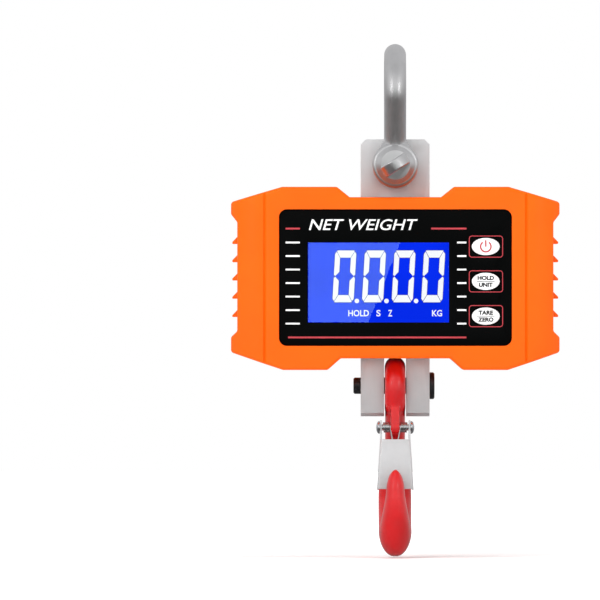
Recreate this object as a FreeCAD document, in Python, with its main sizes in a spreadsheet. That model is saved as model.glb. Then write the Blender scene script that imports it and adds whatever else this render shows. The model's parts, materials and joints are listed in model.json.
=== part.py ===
import FreeCAD, Part
import math
import os
import re
import Sketcher

# Crane scale: a screw-pin bow shackle carries a plate load cell, the display housing is clamped
# round the cell, and a swivelling safety hook hangs from a bolt through the cell's lower fork.
# +X runs along the bolt, -Y is the side with the display, +Z is up. The origin is the inside crown
# of the shackle's bow, where the object hangs. Lengths are in millimetres.

DOC = FreeCAD.newDocument("crane_scale")
SHEET = DOC.addObject("Spreadsheet::Sheet", "Sizes")
Vec = FreeCAD.Vector

DIMENSIONS = {
    # shackle
    "rod_d": 14.0, "bow_in": 16.65, "jaw_w": 21.0, "leg_foot": 13.9, "eye_t": 13.0, "eye_r": 14.6,
    "eye_round": 2.2, "pin_z": -63.9, "pin_d": 16.0, "pin_fit": 0.08, "pin_tail": 26.0,
    "pin_chamfer": 1.2, "collar_r": 12.3, "collar_t": 3.6, "collar_gap": 0.4, "cone_t": 2.6,
    "cone_r": 9.4, "neck_t": 1.1, "tab_w": 18.4, "tab_t": 7.3, "tab_tip": 44.0, "tab_hole": 3.2,
    "tab_turn": 33.0, "tab_round": 1.0,
    # load cell
    "cell_w": 44.0, "cell_t": 18.0, "cell_top": -47.3, "cell_end": -224.6, "cell_chamfer": 3.2,
    "bolt_z": -205.0, "bolt_d": 10.5, "bolt_fit": 0.05, "ear_r": 19.6, "slot_w": 14.2,
    "slot_rise": 24.0, "gauge_r": 13.0, "gauge_deep": 6.0, "gauge_w": 3.6, "gauge_l": 7.0,
    "gauge_t": 0.3, "gauge_x": 5.0, "gauge_z": 5.5, "cell_screw_x": 15.0, "cell_screw_z": 33.3,
    "cell_screw_grip": 10.0, "cable_r": 1.3, "cable_x": 8.0, "cable_gap": 0.4, "cable_run": 30.0,
    # clevis bolt
    "bolt_head_r": 8.6, "bolt_head_t": 3.2, "bolt_tail": 4.7, "bolt_round": 0.8, "socket_r": 2.9,
    "socket_deep": 2.2,
    # housing
    "house_z": -136.3, "house_w": 210.0, "house_h": 117.0, "face_y": -29.0, "back_y": 29.0,
    "split_y": 5.0, "side_wall": 3.0, "front_wall": 5.0, "back_wall": 4.0, "horn_out": 4.0,
    "notch_half": 29.2, "notch_drop": 6.6, "shoulder_half": 37.4, "flat_half": 72.3,
    "facet_half": 81.9, "facet_drop": 2.8, "horn_top": 48.8, "horn_low": 41.0,
    "horn_root": 35.9, "foot_half": 43.3, "foot_notch": 34.9, "foot_drop": 7.4,
    "sole_half": 71.7, "sole_facet": 84.1, "sole_rise": 4.1, "heel_low": 47.2,
    "heel_top": 37.5, "heel_root": 33.7, "corner_r": 2.4, "edge_r": 2.4, "wing_x": 85.0,
    "wing_r": 24.0, "tail_x": 86.0, "tail_r": 22.0, "groove_x": 83.6, "groove_w": 2.2,
    "groove_deep": 1.1, "tooth_pitch": 11.7, "tooth_z": 24.5, "tooth_out": 3.2,
    "tooth_rise": 2.6, "tooth_tip": 1.2, "tooth_foot": 2.4, "tooth_round": 0.5,
    "tooth_y": -15.0, "tooth_end": 17.0, "tooth_root": 0.5, "cutter_w": 40.0,
    "gasket_t": 0.8, "gasket_in": 1.0, "gasket_w": 1.6, "seal_t": 2.0, "seal_lip": 1.2,
    "boss_r": 4.5, "boss_gap": 0.2, "screw_r": 2.0, "screw_head_r": 3.6, "screw_head_t": 2.8,
    "screw_sink": 6.0, "screw_l": 35.0, "wing_boss_x": 88.0, "wing_boss_z": 39.0,
    "mid_boss_x": 55.0, "mid_boss_z": 50.4, "pilot_l": 20.0, "post_hole": 12.0,
    # pan-head screws: shares of the head's radius and height
    "head_rim": 0.7, "head_crown": 0.72, "drive_w": 0.3, "drive_floor": 0.45, "thread_fit": 0.02,
    # front panel, display and keys
    "panel_w": 148.5, "panel_h": 87.0, "panel_z": 0.5, "panel_r": 5.0, "panel_t": 1.2,
    "panel_sink": 1.4, "panel_gap": 0.15, "lcd_x": -10.8, "lcd_z": -2.6,
    "lcd_w": 90.0, "lcd_h": 51.0, "lcd_t": 2.0, "lcd_gap": 0.1, "lcd_over": 1.0, "light_t": 3.2,
    "frame_w": 4.5, "key_x": 57.7, "key_z": -1.9, "key_pitch": 22.2, "key_w": 17.8,
    "key_h": 11.0, "key_proud": 0.5, "key_gap": 0.2, "flange_w": 1.7, "flange_t": 1.2,
    "stem_r": 2.2, "stem_l": 2.0, "switch_w": 6.2, "switch_t": 3.6, "plunger_r": 1.6,
    "plunger_in": 1.0, "plunger_deep": 1.7, "plunger_gap": 0.05, "key_round": 0.4,
    # electronics and battery
    "board_w": 150.0, "board_h": 84.0, "board_t": 1.6, "board_y": -16.0, "board_boss_x": 70.0,
    "board_boss_z": 36.5, "board_boss_r": 3.2, "board_screw_r": 1.2, "board_head_r": 2.3,
    "board_head_t": 1.7, "board_screw_l": 7.4, "board_pilot": 7.0, "pillar_foot": 1.5,
    "cell_r": 7.1, "cell_l": 50.5, "cell_gap": 15.2, "cell_edge": 0.8, "button_r": 2.6,
    "button_l": 1.0, "battery_y": 18.2, "contact_t": 0.4, "coil_wide": 4.0,
    "tray_x": 31.5, "tray_z": 24.6, "tray_y": 9.6, "tray_t": 1.4, "door_w": 86.0,
    "door_h": 57.0, "door_t": 2.3, "door_r": 3.0, "door_screw_x": 38.5, "door_screw_l": 6.5,
    "door_post": 8.0, "door_gap": 0.2, "door_seal_w": 1.6, "door_seal_t": 0.8, "tray_gap": 0.4,
    "lead_r": 0.9, "lead_x": 27.0,
    "lead_pitch": 3.2, "lead_z": 27.5, "plate_w": 60.0, "plate_h": 12.0, "plate_t": 0.6,
    "plate_z": 42.0,
    # hook, measured from the bolt's axis
    "ring_mid": 13.1, "ring_wire": 6.7, "hang_gap": 0.1, "bowl_y": -7.4, "bowl_drop": 71.0,
    "bowl_r": 16.0, "back_a": 10.3, "sole_a": 11.1, "tip_a": 6.3, "neck_a": 10.0,
    "neck_y": 1.2, "neck_drop": 16.0, "neck_b": 6.4, "hook_b": 10.65, "tip_b": 6.4,
    "tip_top": 53.6, "latch_y": -13.0, "latch_drop": 26.6,
    "rib_w": 5.6, "rib_r": 4.4, "rivet_r": 2.0, "rivet_head_r": 4.0, "rivet_head_t": 2.3,
    "rivet_fit": 0.05, "rivet_gap": 0.15, "rivet_rim": 0.7, "rivet_crown": 0.3,
    # latch, measured from its rivet
    "latch_t": 1.2, "latch_top_w": 19.4, "latch_low_w": 23.6, "latch_len": 40.2,
    "latch_lean": 8.0, "latch_front": 4.6, "latch_web_top": 8.2, "latch_depth": 8.6,
    "latch_low_depth": 5.0, "latch_ear_r": 4.6, "latch_top": 4.4, "latch_ease": 4.0,
    "ear_slope": 1.4, "ear_front": 2.2, "coil_r": 2.95, "coil_clear": 0.5, "coil_wire": 0.45,
    "coil_turns": 5.0, "leg_l": 15.0,
}

TEETH = 5
ALIAS = re.compile(r"\b[a-z]+(?:_[a-z0-9]+)+\b")
TURN = {
    "x": FreeCAD.Rotation(Vec(0, 1, 0), 90),
    "y": FreeCAD.Rotation(Vec(1, 0, 0), -90),
    "z": FreeCAD.Rotation(),
}
PLANE = {
    "XY": (FreeCAD.Rotation(), Vec(0, 0, 1)),
    "XZ": (FreeCAD.Rotation(Vec(1, 0, 0), 90), Vec(0, 1, 0)),
    "YZ": (FreeCAD.Rotation(Vec(0, 1, 0), Vec(0, 0, 1), Vec(1, 0, 0), "ZXY"), Vec(1, 0, 0)),
}
NODES = {}


# ---- sheet and helpers -----------------------------------------------------------------------

def fill_sheet():
    """One row per driving dimension: its name in column A, its number with that alias in column B."""
    for row, (alias, number) in enumerate(DIMENSIONS.items(), start=1):
        SHEET.set(f"A{row}", alias)
        SHEET.set(f"B{row}", str(number))
        SHEET.setAlias(f"B{row}", alias)
    DOC.recompute()


def q(text):
    """The text as an expression whose aliases are read from the sheet."""
    return ALIAS.sub(lambda word: "Sizes." + word.group(), str(text))


def value(text):
    """What an expression of aliases comes to."""
    return float(SHEET.evalExpression(q(text)))


def bind(item, **settings):
    """Binds properties to expressions; two underscores in a name stand for a point."""
    for path, text in settings.items():
        item.setExpression(path.replace("__", "."), q(text))
    return item


def place(item, point, rotation=None):
    if rotation is not None:
        item.Placement = FreeCAD.Placement(Vec(), rotation)
    return bind(item, Placement__Base__x=point[0], Placement__Base__y=point[1],
                Placement__Base__z=point[2])


def box(name, low, size):
    item = DOC.addObject("Part::Box", name)
    bind(item, Length=size[0], Width=size[1], Height=size[2])
    return place(item, low)


def block(name, middle, size):
    """A box given by its middle."""
    low = [f"({m}) - ({s}) / 2" for m, s in zip(middle, size)]
    return box(name, low, size)


def cylinder(name, radius, length, start, axis="z"):
    item = DOC.addObject("Part::Cylinder", name)
    bind(item, Radius=radius, Height=length)
    return place(item, start, TURN[axis])


def cone(name, radius, end_radius, length, start, axis="z"):
    item = DOC.addObject("Part::Cone", name)
    bind(item, Radius1=radius, Radius2=end_radius, Height=length)
    return place(item, start, TURN[axis])


def torus(name, radius, wire, middle, axis="z"):
    item = DOC.addObject("Part::Torus", name)
    bind(item, Radius1=radius, Radius2=wire)
    return place(item, middle, TURN[axis])


def ball(name, radius, middle):
    item = DOC.addObject("Part::Sphere", name)
    bind(item, Radius=radius)
    return place(item, middle)


def oval(name, half_w, half_h, start, length):
    """An elliptical cylinder along +Y."""
    ring = DOC.addObject("Part::Ellipse", name + "_ellipse")
    bind(ring, MajorRadius=half_w, MinorRadius=half_h)
    place(ring, start, PLANE["XZ"][0])
    return extrude(name, ring, PLANE["XZ"][1], length)


def extrude(name, outline, direction, length):
    item = DOC.addObject("Part::Extrusion", name)
    item.Base = outline
    item.DirMode = "Custom"
    item.Dir = direction
    item.Solid = True
    return bind(item, LengthFwd=length)


def draw_polygon(sketch, points):
    """A closed polygon whose corners are held by expressions."""
    numbers = [Vec(value(x), value(y), 0) for x, y in points]
    last = len(points)
    for i in range(last):
        sketch.addGeometry(Part.LineSegment(numbers[i], numbers[(i + 1) % last]))
    for i in range(last):
        sketch.addConstraint(Sketcher.Constraint("Coincident", i, 2, (i + 1) % last, 1))
    for i, (x, y) in enumerate(points):
        pin_point(sketch, i, 1, x, y, f"p{i}")


def pin_point(sketch, geometry, end, x, y, name):
    """Holds a sketch point at an offset from the sketch's origin."""
    for kind, text in (("DistanceX", x), ("DistanceY", y)):
        index = sketch.addConstraint(Sketcher.Constraint(kind, -1, 1, geometry, end, value(text)))
        label = name + kind[-1]
        sketch.renameConstraint(index, label)
        if ALIAS.search(str(text)):
            sketch.setExpression(f"Constraints.{label}", q(text))


def prism(name, plane, points, start, length):
    """A polygon drawn in a plane and extruded along that plane's positive axis."""
    rotation, direction = PLANE[plane]
    sketch = DOC.addObject("Sketcher::SketchObject", name + "_sketch")
    place(sketch, start, rotation)
    draw_polygon(sketch, points)
    return extrude(name, sketch, direction, length)


def combine(kind, name, items):
    item = DOC.addObject(kind, name)
    if kind == "Part::Compound":
        item.Links = items
    else:
        item.Shapes = items
    return item


def fuse(name, items):
    return combine("Part::MultiFuse", name, items)


def common(name, items):
    return combine("Part::MultiCommon", name, items)


def group(name, items):
    return combine("Part::Compound", name, items)


def cut(name, base, tools):
    item = DOC.addObject("Part::Cut", name)
    item.Base = base
    item.Tool = tools[0] if len(tools) == 1 else fuse(name + "_tools", tools)
    return item


def round_edges(name, base, radius, chosen):
    """Rounds the edges that a test picks."""
    DOC.recompute()
    item = DOC.addObject("Part::Fillet", name)
    item.Base = base
    size = value(radius)
    item.Edges = [(i, size, size) for i, edge in enumerate(base.Shape.Edges, 1) if chosen(edge)]
    return item


def along(edge, direction):
    """True for a straight edge in a direction."""
    if not isinstance(edge.Curve, Part.Line):
        return False
    return abs(abs(edge.Curve.Direction.dot(direction)) - 1) < 1e-6


def flat_at(edge, axis, level):
    """True for an edge that lies in the plane where a coordinate has a value."""
    low, high = getattr(edge.BoundBox, axis + "Min"), getattr(edge.BoundBox, axis + "Max")
    return abs(low - level) < 0.01 and abs(high - level) < 0.01


def new_body(name):
    return DOC.addObject("PartDesign::Body", name)


def body_sketch(body, role, points, offset="0"):
    """A polygon sketch on one of the body's own origin planes."""
    sketch = body.newObject("Sketcher::SketchObject", body.Name + "_sketch")
    plane = next(item for item in body.Origin.OriginFeatures if item.Role == role)
    sketch.AttachmentSupport = [(plane, "")]
    sketch.MapMode = "FlatFace"
    bind(sketch, AttachmentOffset__Base__z=offset)
    draw_polygon(sketch, points)
    return sketch


def plate(name, middle, size, corner):
    """A plate facing -Y with four rounded corners, given by its middle and its size."""
    body = new_body(name)
    half_w, half_h = f"({size[0]}) / 2", f"({size[2]}) / 2"
    corners = [(f"-{half_w}", f"-{half_h}"), (half_w, f"-{half_h}"), (half_w, half_h),
               (f"-{half_w}", half_h)]
    pad = body.newObject("PartDesign::Pad", name + "_pad")
    pad.Profile = body_sketch(body, "XZ_Plane", corners)
    pad.SideType = "Symmetric"
    bind(pad, Length=size[1])
    DOC.recompute()
    picked = [f"Edge{i}" for i, e in enumerate(pad.Shape.Edges, 1) if along(e, Vec(0, 1, 0))]
    fillet = body.newObject("PartDesign::Fillet", name + "_corners")
    fillet.Base = (pad, picked)
    bind(fillet, Radius=corner)
    body.Tip = fillet
    return place(body, middle)


def turned(name, points, start, axis):
    """A body of revolution: points are (distance along the axis, radius)."""
    body = new_body(name)
    sketch = body_sketch(body, "XZ_Plane", [(radius, along_axis) for along_axis, radius in points])
    turn = body.newObject("PartDesign::Revolution", name + "_turn")
    turn.Profile = sketch
    turn.ReferenceAxis = (sketch, ["V_Axis"])
    turn.Angle = 360
    return place(body, start, TURN[axis])


def mirrored(points):
    """A right half outline, listed from the top middle to the bottom middle, with its left half."""
    return points + [(f"-({x})", y) for x, y in reversed(points)]


def node(item, name):
    """Names a finished sub-part."""
    item.Label = name
    NODES[name] = item
    return item


# ---- shackle ---------------------------------------------------------------------------------

def shackle_bow():
    """A round rod bent into a bow whose legs run straight to two eyes."""
    radius = value("bow_in + rod_d / 2")
    middle = value("-bow_in")
    foot = Vec(value("leg_foot"), value("pin_z"), 0)
    reach = math.hypot(foot.x, foot.y - middle)
    lean = math.acos(radius / reach) - math.atan2(middle - foot.y, foot.x)
    touch = Vec(radius * math.cos(lean), middle + radius * math.sin(lean), 0)
    path = DOC.addObject("Sketcher::SketchObject", "bow_path")
    place(path, ("0", "0", "0"), PLANE["YZ"][0])
    path.addGeometry(Part.LineSegment(foot, touch))
    path.addGeometry(Part.Arc(touch, Vec(0, middle + radius, 0), Vec(-touch.x, touch.y, 0)))
    path.addGeometry(Part.LineSegment(Vec(-touch.x, touch.y, 0), Vec(-foot.x, foot.y, 0)))
    path.addConstraint(Sketcher.Constraint("Tangent", 0, 2, 1, 1))
    path.addConstraint(Sketcher.Constraint("Tangent", 1, 2, 2, 1))
    pin_point(path, 1, 3, "0", "-bow_in", "crown")
    pin_point(path, 0, 1, "leg_foot", "pin_z", "right")
    pin_point(path, 2, 2, "-leg_foot", "pin_z", "left")
    section = DOC.addObject("Part::Circle", "bow_section")
    bind(section, Radius="rod_d / 2")
    place(section, ("0", "leg_foot", "pin_z"), TURN["z"])
    bow = DOC.addObject("Part::Sweep", "bow_rod")
    bow.Sections = [section]
    bow.Spine = (path, ["Edge1", "Edge2", "Edge3"])
    bow.Solid = True
    eyes = []
    for name, start in (("front_eye", "-jaw_w / 2 - eye_t"), ("rear_eye", "jaw_w / 2")):
        disc = cylinder(name, "eye_r", "eye_t", ("0", start, "pin_z"), "y")
        eyes.append(round_edges(name + "_rounded", disc, "eye_round",
                                lambda edge: isinstance(edge.Curve, Part.Circle)))
    hole = cylinder("bow_hole", "pin_d / 2 + pin_fit", "jaw_w + 3 * eye_t",
                    ("0", "-jaw_w / 2 - 1.5 * eye_t", "pin_z"), "y")
    jaw = block("bow_jaw", ("0", "0", "pin_z"), ("3 * eye_r", "jaw_w", "2 * eye_r"))
    return node(cut("shackle_bow", fuse("bow_and_eyes", [bow] + eyes), [hole, jaw]),
                "shackle_bow")


def shackle_pin():
    """The screw pin: a shank, a collar with a coned face, and a flat tab with a hole to turn it by."""
    collar = "-(jaw_w / 2 + eye_t + collar_gap)"
    cone_start = f"{collar} - collar_t"
    cone_end = f"{cone_start} - cone_t"
    neck = f"{cone_end} - neck_t"
    shank = turned("pin_shank", [
        ("pin_tail", "0"), ("pin_tail", "pin_d / 2 - pin_chamfer"),
        ("pin_tail - pin_chamfer", "pin_d / 2"), (collar, "pin_d / 2"), (collar, "collar_r"),
        (cone_start, "collar_r"), (cone_end, "cone_r"), (neck, "cone_r"), (neck, "0"),
    ], ("0", "0", "pin_z"), "y")
    middle = "-tab_tip + tab_w / 2"
    disc = cylinder("tab_disc", "tab_w / 2", "tab_t", ("0", middle, "-tab_t / 2"))
    stem = box("tab_stem", ("-tab_w / 2", middle, "-tab_t / 2"),
               ("tab_w", f"{neck} - ({middle}) + neck_t", "tab_t"))
    hole = cylinder("tab_eye", "tab_hole", "2 * tab_t", ("0", middle, "-tab_t"))
    drilled = cut("tab_drilled", fuse("tab_solid", [disc, stem]), [hole])
    rounded = round_edges("tab_rounded", drilled, "tab_round",
                          lambda edge: flat_at(edge, "Z", value("tab_t / 2"))
                          or flat_at(edge, "Z", value("-tab_t / 2")))
    tab = group("tab_turned", [rounded])
    place(tab, ("0", "0", "pin_z"), FreeCAD.Rotation(Vec(0, 1, 0), -value("tab_turn")))
    return node(fuse("shackle_pin", [shank, tab]), "shackle_pin")


# ---- load cell -------------------------------------------------------------------------------

def load_cell_screw_places():
    return [(x, f"house_z + {z}") for x in ("cell_screw_x", "-cell_screw_x")
            for z in ("cell_screw_z", "-cell_screw_z")]


def load_cell():
    """One machined plate: pin hole at the top, gauge pockets in the middle, a fork at the bottom."""
    half = "cell_w / 2"
    outline = mirrored([
        (f"{half} - cell_chamfer", "cell_top"), (half, "cell_top - cell_chamfer"),
        (half, "cell_end"),
    ])
    blank = prism("cell_blank", "XZ", outline, ("0", "-cell_t / 2", "0"), "cell_t")
    below = box("ear_below", ("-cell_w", "-cell_t", "bolt_z - 2 * ear_r"),
                ("2 * cell_w", "2 * cell_t", "2 * ear_r"))
    round_end = cylinder("ear_round", "ear_r", "3 * cell_w", ("-1.5 * cell_w", "0", "bolt_z"), "x")
    trim = cut("ear_trim", below, [round_end])
    arch_z = "bolt_z + slot_rise - slot_w / 2"
    arch = cylinder("slot_arch", "slot_w / 2", "2 * cell_t", ("0", "-cell_t", arch_z), "y")
    slot = box("slot_box", ("-slot_w / 2", "-cell_t", "cell_end - cell_t"),
               ("slot_w", "2 * cell_t", f"{arch_z} - cell_end + cell_t"))
    pin_hole = cylinder("cell_pin_hole", "pin_d / 2 + pin_fit", "2 * cell_t",
                        ("0", "-cell_t", "pin_z"), "y")
    bolt_hole = cylinder("cell_bolt_hole", "bolt_d / 2 + bolt_fit", "2 * cell_w",
                         ("-cell_w", "0", "bolt_z"), "x")
    pockets = [
        cylinder("front_pocket", "gauge_r", "gauge_deep", ("0", "-cell_t / 2", "house_z"), "y"),
        cylinder("rear_pocket", "gauge_r", "gauge_deep",
                 ("0", "cell_t / 2 - gauge_deep", "house_z"), "y"),
    ]
    screws = [cylinder(f"cell_hole_{i}", "screw_r", "2 * cell_t", (x, "-cell_t", z), "y")
              for i, (x, z) in enumerate(load_cell_screw_places())]
    tools = [trim, arch, slot, pin_hole, bolt_hole] + pockets + screws
    return node(cut("load_cell", blank, tools), "load_cell")


def strain_gauges():
    """Four foil gauges on the thin web, two in each pocket."""
    gauges = []
    for side, start in (("front", "-cell_t / 2 + gauge_deep - gauge_t"),
                        ("rear", "cell_t / 2 - gauge_deep")):
        for turn in ("", "-"):
            low = (f"{turn}gauge_x - gauge_w / 2", start, f"house_z + {turn}gauge_z - gauge_l / 2")
            name = f"gauge_{side}_{'b' if turn else 'a'}"
            gauges.append(box(name, low, ("gauge_w", "gauge_t", "gauge_l")))
    return node(group("strain_gauges", gauges), "strain_gauges")


def gauge_potting():
    """Sealant discs that fill the two gauge pockets over the gauges."""
    deep = "gauge_deep - gauge_t"
    discs = [
        cylinder("potting_front", "gauge_r", deep, ("0", "-cell_t / 2", "house_z"), "y"),
        cylinder("potting_rear", "gauge_r", deep,
                 ("0", "cell_t / 2 - gauge_deep + gauge_t", "house_z"), "y"),
    ]
    return node(group("gauge_potting", discs), "gauge_potting")


def load_cell_screws():
    """Four pan-head screws through the cell into the rear shell's posts."""
    screws = [pan_screw(f"cell_screw_{i}", (x, "-cell_t / 2", z), "screw_r - thread_fit",
                        "cell_t + cell_screw_grip", "screw_head_r", "screw_head_t", 1)
              for i, (x, z) in enumerate(load_cell_screw_places())]
    return node(group("load_cell_screws", screws), "load_cell_screws")


def pan_screw(name, seat, radius, length, head_radius, head_t, sense):
    """A screw along Y: its head lies before the seat, its shank runs on by the sense, 1 for +Y."""
    drive, floor = f"({head_radius}) * drive_w", f"-({head_t}) * drive_floor"
    shank = [(length, "0"), (length, f"({radius}) * 0.8"), (f"({length}) - ({radius})", radius),
             ("0", radius)]
    head = [("0", head_radius), (f"-({head_t}) * head_rim", head_radius),
            (f"-({head_t})", f"({head_radius}) * head_crown"), (f"-({head_t})", drive),
            (floor, drive), (floor, "0")]
    points = [(f"({sense}) * ({a})", r) for a, r in shank + head]
    return turned(name, points, seat, "y")


def load_cell_cable():
    """The gauge lead: it leaves the front pocket and runs sideways to the board's socket."""
    corner = ("cable_x", "-cell_t / 2 - cable_r - cable_gap", "house_z")
    up = cylinder("cable_up", "cable_r", "cable_r + cable_gap - pin_fit", corner, "y")
    bend = ball("cable_bend", "cable_r", corner)
    run = cylinder("cable_along", "cable_r", "cable_run", corner, "x")
    return node(fuse("load_cell_cable", [up, bend, run]), "load_cell_cable")


def clevis_bolt():
    """A button-head bolt through the fork, along X, with a hexagon socket in its head."""
    tail, seat = "-cell_w / 2 - bolt_tail", "cell_w / 2"
    head = f"{seat} + bolt_head_t"
    shank = turned("clevis_shank", [
        (tail, "0"), (tail, "bolt_d / 2 - bolt_round"), (f"{tail} + bolt_round", "bolt_d / 2"),
        (seat, "bolt_d / 2"), (seat, "bolt_head_r"), (f"{head} - bolt_round", "bolt_head_r"),
        (head, "bolt_head_r - bolt_round"), (head, "0"),
    ], ("0", "0", "bolt_z"), "x")
    sides = [(f"socket_r * cos({60 * i})", f"socket_r * sin({60 * i})") for i in range(6)]
    socket = prism("clevis_socket", "YZ", sides, (f"{head} - socket_deep", "0", "bolt_z"),
                   "2 * socket_deep")
    return node(cut("clevis_bolt", shank, [socket]), "clevis_bolt")


# ---- housing ---------------------------------------------------------------------------------

def housing_half():
    """The right half of the housing's outline seen from the front, from top middle to bottom middle."""
    top, edge, side = "house_h / 2", "house_w / 2", "house_w / 2 - horn_out"
    return [
        ("notch_half", f"{top} - notch_drop"), ("shoulder_half", top), ("flat_half", top),
        ("facet_half", f"{top} - facet_drop"), (edge, "horn_top"), (edge, "horn_low"),
        (side, "horn_root"), (side, "-heel_root"), (edge, "-heel_top"), (edge, "-heel_low"),
        ("sole_facet", f"-{top} + sole_rise"), ("sole_half", f"-{top}"), ("foot_half", f"-{top}"),
        ("foot_notch", f"-{top} + foot_drop"),
    ]


def housing_outline(name):
    sketch = DOC.addObject("Sketcher::SketchObject", name)
    place(sketch, ("0", "0", "house_z"), PLANE["XZ"][0])
    draw_polygon(sketch, mirrored(housing_half()))
    return sketch


def inset_outline(name, source, inset):
    item = DOC.addObject("Part::Offset2D", name)
    item.Source = source
    item.Join = "Intersection"
    return bind(item, Value=f"-({inset})")


def slab(name, outline, start, end):
    """An outline extruded along Y from a start to an end."""
    item = extrude(name, outline, Vec(0, 1, 0), f"({end}) - ({start})")
    return bind(item, Placement__Base__y=start)


def corner_cutters(name, edge_x, radius, kept, face, sense):
    """What stands outside a quarter-round shoulder at each end of a face. The shoulder turns about a
    line its radius behind the face, and what is kept is a cylinder about that line."""
    cutters = []
    middle_y = f"({face}) - ({sense}) * ({radius})"
    for side, tag in ((1, "right"), (-1, "left")):
        low_x = edge_x if side > 0 else f"-({edge_x}) - cutter_w"
        low_y = middle_y if sense > 0 else f"{middle_y} - cutter_w"
        corner = box(f"{name}_{tag}_box", (low_x, low_y, "house_z - house_h"),
                     ("cutter_w", "cutter_w", "2 * house_h"))
        core = cylinder(f"{name}_{tag}_core", kept, "2 * house_h",
                        (f"{side} * ({edge_x})", middle_y, "house_z - house_h"))
        cutters.append(cut(f"{name}_{tag}", corner, [core]))
    return cutters


def shell_blank(name, start, end, face, sense, shoulder_x, shoulder_r):
    """The solid outside of one shell: outline, rounded ends, rounded corners and face edge."""
    outline = housing_outline(name + "_outline")
    block_shape = slab(name + "_slab", outline, start, end)
    corners = round_edges(name + "_corners", block_shape, "corner_r",
                          lambda edge: along(edge, Vec(0, 1, 0))
                          and abs(edge.BoundBox.XMin) > value("notch_half") + 1)
    cutters = corner_cutters(name + "_end", shoulder_x, shoulder_r, shoulder_r, face, sense)
    rounded = cut(name + "_ends", corners, cutters)
    level = value(face)
    reach = value(f"({shoulder_r}) * 0.5")
    return round_edges(name + "_edge", rounded, "edge_r", lambda edge: face_edge(edge, level, reach))


def face_edge(edge, level, reach):
    """True for the edges round a face, its rounded shoulders included."""
    if along(edge, Vec(0, 1, 0)) or along(edge, Vec(0, 0, 1)):
        return False
    return abs(edge.CenterOfMass.y - level) < reach


def shell_cavity(name, start, end, face, sense, shoulder_x, shoulder_r):
    """The space inside one shell: the outline and its rounded ends, a wall's thickness in."""
    outline = inset_outline(name + "_inset", housing_outline(name + "_base"), "side_wall")
    inside = slab(name + "_inside", outline, start, end)
    cutters = corner_cutters(name + "_turn", shoulder_x, shoulder_r, f"{shoulder_r} - side_wall",
                             face, sense)
    return cut(name, inside, cutters)


def side_teeth(name, start, length):
    """Five grip teeth down each side: ramped above, flat below."""
    teeth = []
    for side, tag in (("", "right"), ("-", "left")):
        root = f"{side}(house_w / 2 - horn_out - tooth_root)"
        tip = f"{side}(house_w / 2 - horn_out + tooth_out)"
        for i in range(TEETH):
            z = f"tooth_z - {i} * tooth_pitch"
            points = [(root, f"{z} + tooth_rise"), (tip, f"{z} - tooth_tip"),
                      (tip, f"{z} - tooth_foot"), (root, f"{z} - tooth_foot")]
            tooth = prism(f"{name}_{i}_{tag}", "XZ", points, ("0", start, "house_z"), length)
            teeth.append(round_edges(tooth.Name + "_rounded", tooth, "tooth_round",
                                     lambda edge: along(edge, Vec(0, 1, 0))
                                     and flat_at(edge, "X", value(tip))))
    return teeth


def cell_opening(name, margin):
    """The space that the load cell passes through, from top to bottom of the housing."""
    return block(name, ("0", "0", "house_z"),
                 (f"cell_w + 2 * ({margin})", f"cell_t + 2 * ({margin})", "1.2 * house_h"))


def shell_screw_places():
    spots = [("wing_boss_x", "wing_boss_z"), ("mid_boss_x", "mid_boss_z")]
    return [(f"{sx}{x}", f"house_z + {sz}{z}") for x, z in spots for sx in ("", "-")
            for sz in ("", "-")]


def key_places():
    return [("power", f"house_z + key_z + key_pitch"), ("hold", "house_z + key_z"),
            ("tare", "house_z + key_z - key_pitch")]


def board_screw_places():
    return [(f"{sx}board_boss_x", f"house_z + {sz}board_boss_z") for sx in ("", "-")
            for sz in ("", "-")]


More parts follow.
